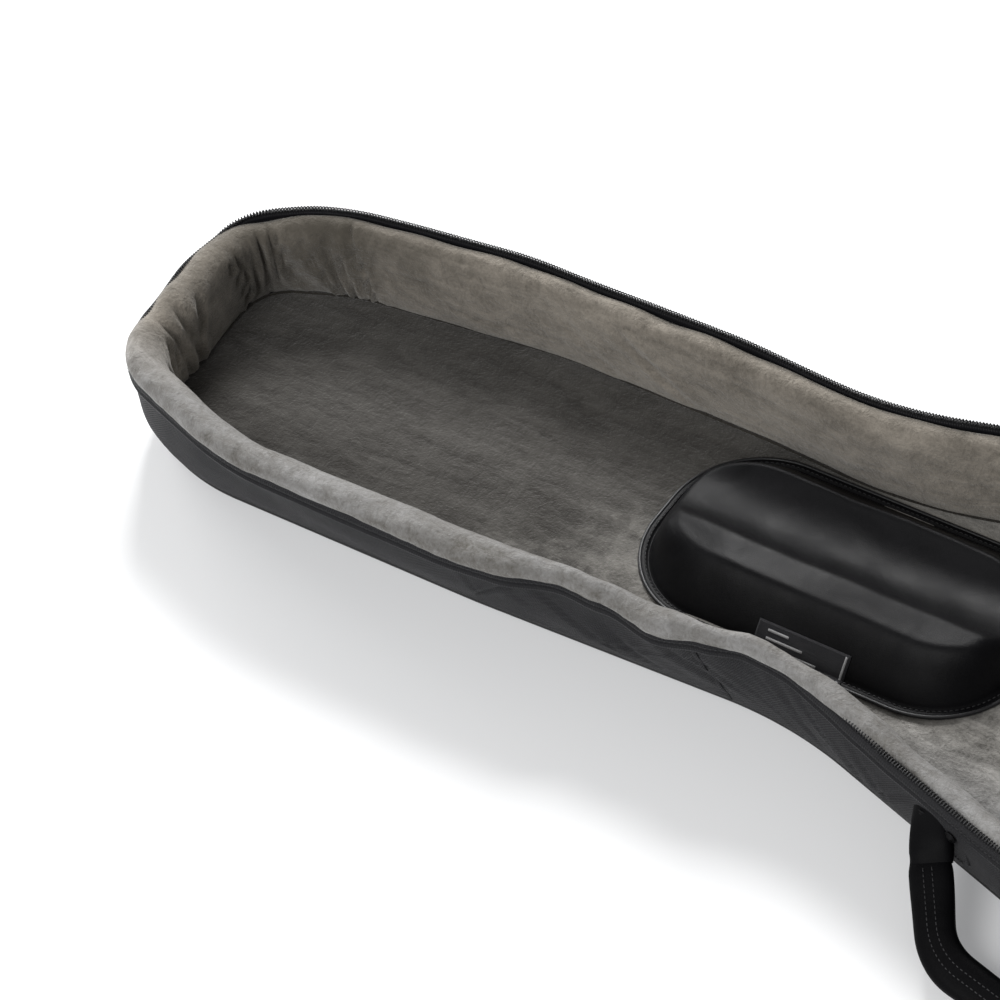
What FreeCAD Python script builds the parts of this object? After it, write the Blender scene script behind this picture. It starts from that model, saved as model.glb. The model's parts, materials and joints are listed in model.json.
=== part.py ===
import FreeCAD, Part
import math
import os

from FreeCAD import Vector

# Padded gig bag for a four-string bass, lying open on its back.  Millimetres.
# +X runs from the head end to the tail end, +Y to the far side, +Z up.
# The origin is the middle of the back, on the surface that the bag lies on.
# The lid is laid out closed, then folded open about the tail hinge.

# ---------------------------------------------------------------- driving sizes
LENGTH = 1270.0
# Corners of the outer wall's plan, along the near side and back along the far side:
# distance from the head end, offset to the far side, corner radius.
BASE_PLAN = [(12, -87, 62), (90, -112, 150), (300, -109, 600), (520, -98, 250),
             (800, -184, 300), (960, -186, 900), (1100, -196, 500), (LENGTH, -189, 62),
             (LENGTH, 192, 62), (1100, 199, 500), (960, 189, 900), (800, 187, 300),
             (500, 103, 300), (400, 109, 500), (240, 111, 400), (80, 92, 150), (4, 62, 50)]
# The same corners at the rim, which slumps towards the near side.
RIM_PLAN = [(19, -95, 55), (140, -134, 200), (330, -133, 500), (512, -105, 220),
            (800, -192, 300), (960, -196, 900), (1100, -206, 500), (LENGTH + 6, -198, 62),
            (LENGTH + 6, 186, 62), (1100, 194, 500), (960, 184, 900), (800, 182, 300),
            (488, 93, 250), (375, 101, 400), (215, 101, 300), (78, 84, 150), (16, 51, 45)]
MIN_RADIUS = 12.0
TAIL_MIDDLE_Y = -6.0    # middle of the rim at the tail

RIM_Z = 84.0            # top of the padded wall
TAPE_TOP_Z = 90.0       # top of the case's zip tape
CHAIN_TOP_Z = 94.0      # top of the case's zip teeth
# Outer profile of the wall: height, and how far it stands outside the plan.
PROFILE = [(0.0, -20.0), (3.0, -12.0), (8.0, -5.5), (18.0, -1.0), (32.0, 0.0), (CHAIN_TOP_Z, 0.0)]
LEAN_START_Z = 18.0     # from here to the rim the plan changes steadily

GAP = 0.3               # between neighbouring layers
FABRIC = 2.0            # outer fabric
LINING = 2.0            # plush lining
WALL_FOAM = 12.0
BASE_RING_WIDTH = 28.0
BASE_RING_TOP_Z = 8.0
SPINE_HALF_WIDTH = 11.0        # middle pad of the back, between the shoulder straps
SPINE_ENDS = (560.0, 1190.0)   # distances from the head end
BACK_COVER_TOP_Z = 10.0
BACK_FOAM_TOP_Z = 18.0
FLOOR_Z = 20.3          # top of the floor lining

HINGE_GAP = 9.0         # from the tail rim to the fold line
HINGE_Z = 94.3
HINGE_HALF_WIDTH = 88.0
OPEN_ANGLE = 183.32     # the lid's head end then rests on the surface
LID_TAPE_BOTTOM_Z = 94.7
LID_TAPE_TOP_Z = 103.0
LID_TOP_Z = 115.0

BRACE_CENTRE = (499.0, 9.0)    # distance from the head end, offset to the far side
BRACE_SIZE = (262.0, 146.0, 30.0)
BRACE_CORNER = 62.0
TROUGH_RADIUS = 46.0
TROUGH_DEPTH = 12.0
TROUGH_OFFSET = 14.0    # from the brace's middle to the far side, under the neck

HANDLE_ENDS = (651.0, 853.0)   # distances from the head end
HANDLE_REACH = 48.0
HANDLE_SPLAY = 0.9      # of the legs, along the grip for each unit of reach
HANDLE_WIDTH = 27.0
HANDLE_AXIS_Z = 38.0
HANDLE_STANDOFF = 10.0  # from the wall to the fold line
HANDLE_DROOP = 24.0     # degrees below level
ANCHOR_LEAN = 8.0       # degrees that the wall leans out at the anchors

# The line each shoulder strap folds about: distance from the head end, half spacing.
STRAP_TOP = (616.0, 18.0)
STRAP_BOTTOM = (1116.0, 64.0)
STRAP_FOLD_Z = 6.75
STRAP_OFFSET = 27.0     # from the fold line to the middle of the strap at its ends
STRAP_BOW = 30.0
STRAP_WIDTH = 52.0
WEBBING_WIDTH = 25.0
BUCKLE_SHARE = 0.67     # place of the buckle along the strap
BUCKLE_HALF_LENGTH = 11.0

PULL_LENGTH = 34.0
PULL_WIDTH = 9.0
PIN_HEIGHT = 4.1        # of a pull's hinge line above the slider's plate

PARTS = "parts"


def save(name, shape):
    shape.exportStep(os.path.join(PARTS, name + ".step"))
    solids = shape.Solids
    flag = "" if shape.isValid() and solids else "  <-- INVALID"
    print(f"{name:26s} {len(solids):3d} solids {shape.Volume / 1000:9.1f} cm3{flag}")


# ---------------------------------------------------------------- plan outlines
def plan_x(distance):
    return distance - LENGTH / 2


def rounded_polygon(corners):
    """Closed wire of lines and tangent arcs; corners are (x, y, radius), anticlockwise or not."""
    count = len(corners)
    starts, ends, arcs = [], [], []
    for i, (x, y, radius) in enumerate(corners):
        here = Vector(x, y, 0)
        back = (Vector(*corners[i - 1][:2], 0) - here).normalize()
        ahead = (Vector(*corners[(i + 1) % count][:2], 0) - here).normalize()
        half = back.getAngle(ahead) / 2
        reach = radius / math.tan(half)
        bisector = (back + ahead).normalize()
        centre = here + bisector * (radius / math.sin(half))
        starts.append(here + back * reach)
        ends.append(here + ahead * reach)
        arcs.append(centre - bisector * radius)
    edges = []
    for i in range(count):
        edges.append(Part.Arc(starts[i], arcs[i], ends[i]).toShape())
        edges.append(Part.LineSegment(ends[i], starts[(i + 1) % count]).toShape())
    return Part.Wire(edges)


def grown_corners(points, grow):
    """Corner list moved outwards by grow, with each radius following its arc."""
    count = len(points)
    corners = []
    for i, (x, y, radius) in enumerate(points):
        before, after = points[i - 1], points[(i + 1) % count]
        a = Vector(x - before[0], y - before[1], 0).normalize()
        b = Vector(after[0] - x, after[1] - y, 0).normalize()
        normal_a, normal_b = Vector(a.y, -a.x, 0), Vector(b.y, -b.x, 0)
        mitre = (normal_a + normal_b).normalize()
        step = mitre * (grow / mitre.dot(normal_a))
        convex = a.cross(b).z > 0
        turned = radius + grow if convex else radius - grow
        corners.append((x + step.x, y + step.y, max(MIN_RADIUS, turned)))
    return corners


def plan_corners(lean):
    """The plan's corners at a share of the way from the base to the rim."""
    corners = []
    for base, rim in zip(BASE_PLAN, RIM_PLAN):
        s, y, radius = (b + (r - b) * lean for b, r in zip(base, rim))
        corners.append((plan_x(s), y, radius))
    return corners


def outline(grow, z, lean=None):
    """The bag's plan at a height, grown outwards."""
    if lean is None:
        lean = lean_at(z)
    wire = rounded_polygon(grown_corners(plan_corners(lean), grow))
    wire.translate(Vector(0, 0, z))
    return wire


def lean_at(z):
    return min(1.0, max(0.0, (z - LEAN_START_Z) / (RIM_Z - LEAN_START_Z)))


def profile(z):
    """How far the outer wall stands outside the plan at height z, without the lean."""
    for (z0, g0), (z1, g1) in zip(PROFILE, PROFILE[1:]):
        if z <= z1:
            return g0 + (g1 - g0) * (z - z0) / (z1 - z0)
    return PROFILE[-1][1]


def levels(low, high, inset):
    """Heights and growths of the wall profile between low and high, moved inwards."""
    knots = [low] + [z for z, _ in PROFILE if low < z < high]
    knots += [z for z in (RIM_Z,) if low < z < high]
    return [(z, profile(z) - inset) for z in sorted(knots) + [high]]


def stack(pairs, lean=None):
    """Solid through the plan at each (height, growth)."""
    return Part.makeLoft([outline(grow, z, lean) for z, grow in pairs], True, True)


def ring(outer, inner, lean=None):
    """Wall between two stacks; the inner one is made a little taller at both ends."""
    low, high = inner[0], inner[-1]
    taller = [(low[0] - 1, low[1])] + inner[1:-1] + [(high[0] + 1, high[1])]
    if lean is None:
        body = stack(inner)
        cap_low = outline(low[1], low[0]).copy()
        cap_high = outline(high[1], high[0]).copy()
        below = Part.Face(cap_low).extrude(Vector(0, 0, -1))
        above = Part.Face(cap_high).extrude(Vector(0, 0, 1))
        return stack(outer).cut(body).cut(below).cut(above)
    return stack(outer, lean).cut(stack(taller, lean))


def box(x0, x1, y0, y1, z0, z1):
    return Part.makeBox(x1 - x0, y1 - y0, z1 - z0, Vector(x0, y0, z0))


# ---------------------------------------------------------------- case: base and walls
def make_base():
    outer = stack(levels(0.0, BASE_RING_TOP_Z, 0.0))
    hole = Part.Face(outline(-20.0 - BASE_RING_WIDTH, -1.0, 0.0))
    save("base_pad_ring", outer.cut(hole.extrude(Vector(0, 0, BASE_RING_TOP_Z + 2))))
    spine_start, spine_end = plan_x(SPINE_ENDS[0]), plan_x(SPINE_ENDS[1])
    save("back_spine_pad", box(spine_start, spine_end, -SPINE_HALF_WIDTH, SPINE_HALF_WIDTH,
                               0.0, BASE_RING_TOP_Z))
    save("back_cover", stack([(BASE_RING_TOP_Z + GAP, -8.5), (BACK_COVER_TOP_Z, -7.5)]))
    save("back_foam", stack(levels(BACK_COVER_TOP_Z + GAP, BACK_FOAM_TOP_Z, FABRIC + 2 * GAP)))
    inset = FABRIC + WALL_FOAM + 3 * GAP
    save("floor_lining", stack([(BACK_FOAM_TOP_Z + GAP, profile(BACK_FOAM_TOP_Z) - inset),
                                (FLOOR_Z, profile(FLOOR_Z) - inset)], 0.0))


def make_walls():
    low = BASE_RING_TOP_Z + GAP
    save("sidewall_cover", ring(levels(low, RIM_Z, 0.0), levels(low, RIM_Z, FABRIC)))
    foam_low, foam_top = BACK_FOAM_TOP_Z + GAP, RIM_Z - LINING - GAP
    outer = FABRIC + GAP
    inner = outer + WALL_FOAM
    out_levels = levels(foam_low, foam_top - 4, outer)
    out_levels.append((foam_top, profile(foam_top) - outer - 3))
    in_levels = levels(foam_low, foam_top - 4, inner)
    in_levels.append((foam_top, profile(foam_top) - inner + 3))
    foam = ring(out_levels, in_levels)
    cuts = {"head": (0, 190), "neck": (190, 560), "waist": (560, 820), "bout": (820, 1130),
            "tail": (1130, LENGTH)}
    for name, (start, end) in cuts.items():
        x0 = plan_x(start) - (60 if name == "head" else 0)
        x1 = plan_x(end) + (60 if name == "tail" else 0)
        if name in ("head", "tail"):
            save("wall_foam_" + name, foam.common(box(x0, x1, -300, 300, 0, 120)))
            continue
        save(f"wall_foam_{name}_near", foam.common(box(x0, x1, -300, -20, 0, 120)))
        save(f"wall_foam_{name}_far", foam.common(box(x0, x1, -20, 300, 0, 120)))


def make_wall_lining():
    skin = FABRIC + WALL_FOAM + 2 * GAP
    low, high = FLOOR_Z + GAP, RIM_Z + LINING
    inside = ring(levels(low, high, skin), levels(low, high, skin + LINING))
    cap_low = RIM_Z - LINING
    top = ring(levels(cap_low, high, FABRIC + GAP), levels(cap_low, high, skin))
    save("wall_lining", Part.makeCompound([inside, top]))


def make_zip(name, low, high, width, lean=1.0):
    """Strip round the rim with the tail hinge left out of it."""
    strip = ring([(low, -GAP), (high, -GAP)], [(low, -GAP - width), (high, -GAP - width)], lean)
    tail = tail_x() - 40
    strip = strip.cut(box(tail, tail + 100, TAIL_MIDDLE_Y - HINGE_HALF_WIDTH,
                          TAIL_MIDDLE_Y + HINGE_HALF_WIDTH, low - 2, high + 2))
    save(name, strip)


def make_piping():
    z = BASE_RING_TOP_Z + 1.0
    grow = profile(z)
    save("base_piping", ring([(z, grow + 2.6), (z + 3.4, grow + 4.4)],
                             [(z, grow + 0.4), (z + 3.4, grow + 1.9)], 0.0))


def tail_x():
    """X of the tail rim's flat outer face."""
    return plan_x(max(corner[0] for corner in RIM_PLAN))


def hinge_x():
    return tail_x() + HINGE_GAP


def make_hinge_strip():
    x0 = tail_x() + GAP
    y = TAIL_MIDDLE_Y
    strip = box(x0, x0 + 1.4, y - HINGE_HALF_WIDTH, y + HINGE_HALF_WIDTH, 70.0, 92.5)
    tab = box(x0, x0 + 5.0, y - HINGE_HALF_WIDTH, y + HINGE_HALF_WIDTH, 91.1, 92.5)
    save("hinge_strip", strip.fuse(tab).removeSplitter())


# ---------------------------------------------------------------- neck brace
def brace_solid(inset, floor):
    """Domed oval pad with a trough for the neck, all faces moved inwards by inset."""
    length, width, height = BRACE_SIZE
    steps = [(0.0, 0.0), (0.28, 5.0), (0.62, 15.0), (0.86, 27.0), (1.0, 42.0)]
    wires = []
    for share, side in steps:
        half_x, half_y = length / 2 - side - inset, width / 2 - side - inset
        radius = max(12.0, BRACE_CORNER - side - inset)
        corners = [(-half_x, -half_y, radius), (half_x, -half_y, radius),
                   (half_x, half_y, radius), (-half_x, half_y, radius)]
        wire = rounded_polygon(corners)
        wire.translate(Vector(0, 0, floor + share * (height - inset)))
        wires.append(wire)
    pad = Part.makeLoft(wires, True, True)
    radius = TROUGH_RADIUS + inset
    trough = Part.makeCylinder(radius, length + 40, Vector(-length / 2 - 20, 0, 0), Vector(1, 0, 0))
    trough_z = FLOOR_Z + GAP + height - TROUGH_DEPTH + TROUGH_RADIUS
    trough.translate(Vector(0, TROUGH_OFFSET, trough_z))
    pad = pad.cut(trough)
    pad.translate(Vector(plan_x(BRACE_CENTRE[0]), BRACE_CENTRE[1], 0))
    return pad


def make_brace():
    floor = FLOOR_Z + GAP
    outer = brace_solid(0.0, floor)
    save("brace_core", brace_solid(2.5, floor))
    save("brace_cover", outer.cut(brace_solid(2.2, floor)))
    x, y = plan_x(BRACE_CENTRE[0]) + 20, BRACE_CENTRE[1] - BRACE_SIZE[1] / 2 + 9
    label = box(x - 35, x + 35, y - 9, y + 9, 0, 0.9)
    label.rotate(Vector(x, y, 0), Vector(1, 0, 0), 43.0)
    label.translate(Vector(0, 0, floor + 16.0))
    save("brace_label", label)


def make_tail_cushion():
    """Crescent pad that the instrument's strap button rests in."""
    x1 = LENGTH / 2 - FABRIC - WALL_FOAM - LINING - 8
    corners = [(x1 - 34, -96, 18), (x1, -96, 10), (x1, 96, 10), (x1 - 34, 96, 18)]
    wires = []
    for z, inset in ((FLOOR_Z + GAP, 0.0), (50.0, 0.0), (58.0, 6.0)):
        wire = rounded_polygon([(x + (inset if x < x1 else -inset), y * (1 - inset / 96), r - inset)
                                for x, y, r in corners])
        wire.translate(Vector(0, 0, z))
        wires.append(wire)
    cushion = Part.makeLoft(wires, True, True)
    groove = Part.makeCylinder(17, 60, Vector(x1 - 37, 0, FLOOR_Z), Vector(0, 0, 1))
    save("tail_cushion", cushion.cut(groove))


# ---------------------------------------------------------------- side handle
def near_wall(distance):
    """Point on the near wall's outer face at the handle's height, and the wall's slope there."""
    x = plan_x(distance)
    corners = plan_corners(lean_at(HANDLE_AXIS_Z))
    for (x0, y0, _), (x1, y1, _) in zip(corners, corners[1:]):
        if x <= x1:
            break
    slope = (y1 - y0) / (x1 - x0)
    return Vector(x, y0 + slope * (x - x0), HANDLE_AXIS_Z), math.degrees(math.atan(slope))


def handle_frame():
    """Placement on the fold line's middle: X runs along the line, -Y away from the wall."""
    front, rear = (near_wall(distance)[0] for distance in HANDLE_ENDS)
    along = (rear - front).normalize()
    turn = FreeCAD.Rotation(Vector(1, 0, 0), along)
    out = turn.multVec(Vector(0, -HANDLE_STANDOFF, 0))
    return FreeCAD.Placement((front + rear) / 2 + out, turn), (rear - front).Length / 2


def flat_u(foot, width, leg_start, z0, z1):
    """Flat U: two splayed legs leave the wall, and the grip runs along X at -Y reach."""
    reach, side = HANDLE_REACH, width / 2
    knee = foot - reach * HANDLE_SPLAY
    slant = math.atan2(reach, foot - knee)
    across = side / math.sin(slant)
    turn = side * math.tan(slant / 2)
    outer = [(-foot - across, 0, 3), (-knee - turn, -reach - side, 44),
             (knee + turn, -reach - side, 44), (foot + across, 0, 3)]
    inner = [(foot - across, 0, 3), (knee - turn, -reach + side, 20),
             (-knee + turn, -reach + side, 20), (-foot + across, 0, 3)]
    solid = Part.Face(rounded_polygon(outer + inner)).extrude(Vector(0, 0, z1 - z0))
    solid.translate(Vector(0, 0, z0))
    return solid.common(box(-2 * foot, 2 * foot, -2 * reach, -leg_start, z0 - 1, z1 + 1))


def make_handle():
    frame, foot = handle_frame()
    slot = flat_u(foot, HANDLE_WIDTH - 3.4, 0.0, -1.7, 1.7)
    grip = flat_u(foot, HANDLE_WIDTH, 16.0, -5.0, 5.0).cut(slot)
    webbing = flat_u(foot, HANDLE_WIDTH - 4, 2.5, -1.5, 1.5)
    for name, solid in (("handle_grip", grip), ("handle_webbing", webbing)):
        solid.rotate(Vector(0, 0, 0), Vector(1, 0, 0), HANDLE_DROOP)
        solid.Placement = frame.multiply(solid.Placement)
        save(name, solid)
    rivets = []
    for name, distance in zip(("handle_anchor_front", "handle_anchor_rear"), HANDLE_ENDS):
        point, slope = near_wall(distance)
        turn = FreeCAD.Rotation(Vector(0, 0, 1), slope)
        lean = FreeCAD.Rotation(Vector(1, 0, 0), ANCHOR_LEAN)
        place = FreeCAD.Placement(point, turn.multiply(lean))
        patch = box(-22, 22, -3.4, -0.6, -12, 22)
        lug = box(-16, 16, -5.2, -3.4, 5.0, 11.0)
        anchor = patch.fuse(lug).removeSplitter()
        anchor.Placement = place
        save(name, anchor)
        for dx in (-11, 11):
            rivet = Part.makeCylinder(4.0, 1.6, Vector(dx, -3.4, 16.0), Vector(0, -1, 0))
            rivet.Placement = place.multiply(rivet.Placement)
            rivets.append(rivet)
    save("handle_rivets", Part.makeCompound(rivets))
    print("handle fold line", frame.Base, frame.Rotation.multVec(Vector(-1, 0, 0)))


# ---------------------------------------------------------------- shoulder straps
def strap_path(side):
    """Function giving the point at a share of the strap's bowed length, and an offset outwards."""
    fold_start = Vector(plan_x(STRAP_TOP[0]), side * STRAP_TOP[1], 0)
    fold_end = Vector(plan_x(STRAP_BOTTOM[0]), side * STRAP_BOTTOM[1], 0)
    chord = fold_end - fold_start
    out = Vector(-chord.y, chord.x, 0).normalize() * side
    start, end = fold_start + out * STRAP_OFFSET, fold_end + out * STRAP_OFFSET
    radius = chord.Length ** 2 / (8 * STRAP_BOW) + STRAP_BOW / 2
    centre = (start + end) / 2 + out * (STRAP_BOW - radius)
    full = 2 * math.asin(chord.Length / 2 / radius)

    def at(share, offset=0.0):
        turn = FreeCAD.Rotation((start - centre).cross(end - centre), math.degrees(full * share))
        return centre + turn.multVec(start - centre) * ((radius + offset) / radius)

    return at, radius * full


def arc_band(at, width, z0, z1, share0, share1):
    """Flat band along the strap's path between two shares of its length."""
    half, mid = width / 2, (share0 + share1) / 2
    edges = [Part.Arc(at(share0, half), at(mid, half), at(share1, half)).toShape(),
             Part.LineSegment(at(share1, half), at(share1, -half)).toShape(),
             Part.Arc(at(share1, -half), at(mid, -half), at(share0, -half)).toShape(),
             Part.LineSegment(at(share0, -half), at(share0, half)).toShape()]
    band = Part.Face(Part.Wire(edges)).extrude(Vector(0, 0, z1 - z0))
    band.translate(Vector(0, 0, z0))
    return band


def make_strap(name, side):
    at, length = strap_path(side)
    reach = (BUCKLE_HALF_LENGTH + GAP) / length
    save(f"strap_{name}_pad", arc_band(at, STRAP_WIDTH, 0.8, 6.6, 0.03, 0.62))
    save(f"strap_{name}_lead", arc_band(at, WEBBING_WIDTH, 3.0, 4.6, 0.621, BUCKLE_SHARE - reach))
    save(f"strap_{name}_tail", arc_band(at, WEBBING_WIDTH, 3.0, 4.6, BUCKLE_SHARE + reach, 0.98))
    half = BUCKLE_HALF_LENGTH
    buckle = box(-half, half, -17, 17, 1.6, 6.2)
    for x in (-5.0, 5.0):
        buckle = buckle.cut(box(x - 2.5, x + 2.5, -13, 13, 0, 8))
    along = at(BUCKLE_SHARE + 0.01) - at(BUCKLE_SHARE - 0.01)
    buckle.rotate(Vector(0, 0, 0), Vector(0, 0, 1), math.degrees(math.atan2(along.y, along.x)))
    buckle.translate(at(BUCKLE_SHARE))
    save(f"strap_{name}_buckle", buckle)
    tabs = []
    for share, width in ((0.04, STRAP_WIDTH - 6), (0.97, WEBBING_WIDTH + 6)):
        tab = box(-8, 8, -width / 2, width / 2, 6.9, BASE_RING_TOP_Z + GAP)
        tab.translate(at(share))
        tabs.append(tab)
    fold = Vector(STRAP_BOTTOM[0] - STRAP_TOP[0], side * (STRAP_BOTTOM[1] - STRAP_TOP[1]), 0)
    print(f"strap_{name} fold line", plan_x(STRAP_TOP[0]), side * STRAP_TOP[1], STRAP_FOLD_Z,
          fold.normalize() * -side)
    return tabs


# ---------------------------------------------------------------- lid, laid out closed
def folded(shape):
    """The closed lid's shape turned open about the tail hinge."""
    opened = shape.copy()
    opened.rotate(Vector(hinge_x(), 0, HINGE_Z), Vector(0, 1, 0), OPEN_ANGLE)
    return opened


def save_lid(name, shape):
    save(name, folded(shape))


def make_lid():
    low = LID_TAPE_TOP_Z + GAP
    outer = [(low, -0.4), (109.0, -1.6), (113.0, -6.0), (LID_TOP_Z, -14.0)]
    inner = [(low, -2.2), (108.4, -3.4), (111.6, -7.0), (113.2, -14.6)]
    shell = stack(outer, 1.0).cut(stack(inner, 1.0))
    save_lid("lid_cover", shell)
    foam = [(low, -2.6), (108.3, -3.8), (111.4, -7.4), (112.9, -15.0)]
    save_lid("lid_foam", stack(foam, 1.0))
    save_lid("lid_lining", stack([(101.0, -4.0), (low - GAP, -2.6)], 1.0))
    tail = tail_x() - 40
    y = TAIL_MIDDLE_Y
    notch = box(tail, tail + 100, y - HINGE_HALF_WIDTH, y + HINGE_HALF_WIDTH, 90, 120)
    tape = ring([(98.7, -GAP), (LID_TAPE_TOP_Z, -GAP)], [(98.7, -1.5), (LID_TAPE_TOP_Z, -1.5)], 1.0)
    save_lid("zip_tape_lid", tape.cut(notch))
    teeth = ring([(LID_TAPE_BOTTOM_Z, 0.6), (98.7, 0.6)], [(LID_TAPE_BOTTOM_Z, -2.6), (98.7, -2.6)], 1.0)
    save_lid("zip_teeth_lid", teeth.cut(notch))
    piping = ring([(104.2, 2.2), (107.2, 1.8)], [(104.2, -0.1), (107.2, -0.7)], 1.0)
    tail_gap = box(tail, tail + 100, y - 140, y + 140, 90, 120)
    save_lid("lid_piping", piping.cut(tail_gap))


def zip_slider(name, frame, fold=None):
    """Slider and pull: frame's X runs along the pull, its Z out of the tape."""
    plate = box(-8, 5, -5, 5, 0.0, 2.2)
    arch = box(-6.4, 2.6, -1.4, 1.4, 2.2, PIN_HEIGHT + 3.2)
    arch = arch.cut(box(-4.9, 1.1, -2, 2, 2.2, PIN_HEIGHT + 2.0))
    slider = plate.fuse(arch).removeSplitter()
    half = PULL_WIDTH / 2
    pull = box(-3.2, PULL_LENGTH, -half, half, PIN_HEIGHT - 1.2, PIN_HEIGHT + 1.2)
    pull = pull.cut(box(-0.8, 9.0, -1.9, 1.9, 0, PIN_HEIGHT + 5))
    for part, suffix in ((slider, "slider"), (pull, "pull")):
        part.Placement = frame.multiply(part.Placement)
        save(f"{name}_{suffix}", fold(part) if fold else part)
    pin = Part.LineSegment(frame.multVec(Vector(-2, 0, PIN_HEIGHT)),
                           frame.multVec(Vector(-2, -1, PIN_HEIGHT))).toShape()
    pin = fold(pin) if fold else pin
    ends = [vertex.Point for vertex in pin.Vertexes]
    print(name, "pull pivot", ends[0], "axis", ends[1] - ends[0])


def pocket(name, ends, halves, height, radius):
    """Bellows pocket sewn on the lid, zipped shut across its head-side end."""
    y = TAIL_MIDDLE_Y
    x0, x1 = plan_x(ends[0]), plan_x(ends[1])
    base = LID_TOP_Z + GAP
    corners = [(x0, y - halves[0], radius), (x1, y - halves[1], radius),
               (x1, y + halves[1], radius), (x0, y + halves[0], radius)]
    wires = []
    for grow, rise in ((0.0, 0.0), (-1.5, height * 0.6), (-8.0, height)):
        wire = rounded_polygon(grown_corners(corners, grow))
        wire.translate(Vector(0, 0, base + rise))
        wires.append(wire)
    save_lid(f"pocket_{name}", Part.makeLoft(wires, True, True))
    zip_x, top, half = x0 + 24, base + height + GAP, halves[0] - radius
    tape = box(zip_x - 12, zip_x + 12, y - half - 8, y + half + 8, top, top + 0.9)
    teeth = box(zip_x - 2.4, zip_x + 2.4, y - half, y + half, top + 0.9, top + 2.4)
    save_lid(f"pocket_{name}_zip", tape.fuse(teeth).removeSplitter())
    frame = FreeCAD.Placement(Vector(zip_x, y - half + 9, top + 2.4 + GAP),
                              FreeCAD.Rotation(Vector(0, 0, 1), 90))
    zip_slider(f"pocket_{name}", frame, folded)
    print(f"pocket_{name} travel", 2 * half - 16)


# ---------------------------------------------------------------- main zip sliders
def make_sliders():
    """The two sliders, parked at the chain's ends beside the hinge, pulls hanging down."""
    for name, side in (("near", -1), ("far", 1)):
        y = TAIL_MIDDLE_Y + side * (HINGE_HALF_WIDTH + 8)
        frame = FreeCAD.Placement(Vector(tail_x() + GAP, y, 85.8),
                                  FreeCAD.Rotation(Vector(0, 1, 0), 90))
        zip_slider(f"zip_{name}", frame)


def main():
    os.makedirs(PARTS, exist_ok=True)
    make_base()
    make_walls()
    make_wall_lining()
    make_zip("zip_tape_case", RIM_Z + GAP, TAPE_TOP_Z, 1.2)
    make_zip("zip_teeth_case", TAPE_TOP_Z, CHAIN_TOP_Z, 3.0)
    make_piping()
    make_hinge_strip()
    make_brace()
    make_tail_cushion()
    make_handle()
    tabs = make_strap("near", -1) + make_strap("far", 1)
    save("strap_anchor_tabs", Part.makeCompound(tabs))
    make_lid()
    pocket("large", (800.0, 1130.0), (140.0, 150.0), 24.0, 40.0)
    pocket("small", (430.0, 640.0), (60.0, 66.0), 9.0, 20.0)
    make_sliders()
    print("hinge", hinge_x(), HINGE_Z)


main()
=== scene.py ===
import json
import math
import random

import bpy
import numpy as np
from mathutils import Matrix, Vector
from mathutils.bvhtree import BVHTree


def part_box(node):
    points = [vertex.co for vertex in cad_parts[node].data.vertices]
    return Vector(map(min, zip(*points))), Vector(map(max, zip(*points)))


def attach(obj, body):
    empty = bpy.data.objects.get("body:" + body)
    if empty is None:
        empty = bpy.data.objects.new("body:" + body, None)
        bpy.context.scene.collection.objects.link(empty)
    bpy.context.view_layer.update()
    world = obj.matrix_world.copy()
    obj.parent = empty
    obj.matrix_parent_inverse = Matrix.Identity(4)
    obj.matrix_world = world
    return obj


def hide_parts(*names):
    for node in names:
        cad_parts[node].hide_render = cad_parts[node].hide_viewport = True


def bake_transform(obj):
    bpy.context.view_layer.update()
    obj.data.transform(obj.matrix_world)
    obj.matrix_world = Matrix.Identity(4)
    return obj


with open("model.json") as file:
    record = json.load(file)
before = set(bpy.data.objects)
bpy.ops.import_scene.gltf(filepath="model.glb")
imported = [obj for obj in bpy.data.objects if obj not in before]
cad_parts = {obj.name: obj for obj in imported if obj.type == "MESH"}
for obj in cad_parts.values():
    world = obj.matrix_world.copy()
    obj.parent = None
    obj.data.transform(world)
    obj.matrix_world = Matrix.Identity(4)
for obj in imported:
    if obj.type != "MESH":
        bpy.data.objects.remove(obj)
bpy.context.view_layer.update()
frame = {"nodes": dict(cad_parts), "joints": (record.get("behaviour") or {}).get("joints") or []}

# Padded gig bag lying open on its back.  Shapes are worked out in millimetres in the
# frame's axes (X head to tail, Y to the far side, Z up) and made into meshes in metres.
MM = 0.001
FAR_OFF = 1e6

# ---------------------------------------------------------------- driving sizes
# The CAD part's plan: distance from the head end, offset to the far side, corner radius.
LENGTH = 1270.0
BASE_PLAN = [(12, -87, 62), (90, -112, 150), (300, -109, 600), (520, -98, 250),
             (800, -184, 300), (960, -186, 900), (1100, -196, 500), (LENGTH, -189, 62),
             (LENGTH, 192, 62), (1100, 199, 500), (960, 189, 900), (800, 187, 300),
             (500, 103, 300), (400, 109, 500), (240, 111, 400), (80, 92, 150), (4, 62, 50)]
RIM_PLAN = [(19, -95, 55), (140, -134, 200), (330, -133, 500), (512, -105, 220),
            (800, -192, 300), (960, -196, 900), (1100, -206, 500), (LENGTH + 6, -198, 62),
            (LENGTH + 6, 186, 62), (1100, 194, 500), (960, 184, 900), (800, 182, 300),
            (488, 93, 250), (375, 101, 400), (215, 101, 300), (78, 84, 150), (16, 51, 45)]
LEAN_START_Z, RIM_Z = 18.0, 84.0    # between these the plan changes from the base's to the rim's
FLOOR_Z = 20.3                      # top of the floor lining
BRACE_TOP = 50.6
TAIL_MIDDLE_Y = -6.0
TAIL_FACE_X = LENGTH / 2 + 6
HINGE_HALF_WIDTH = 88.0
HINGE_X, HINGE_Z = 650.0, 94.3
OPEN_ANGLE = 183.32
STATION_STEP = 4.0                  # between the points round the plan
AT_BASE, AT_RIM = 0.0, 1.0          # leans of what follows the back's plan, or the rim's, at every height

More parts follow.
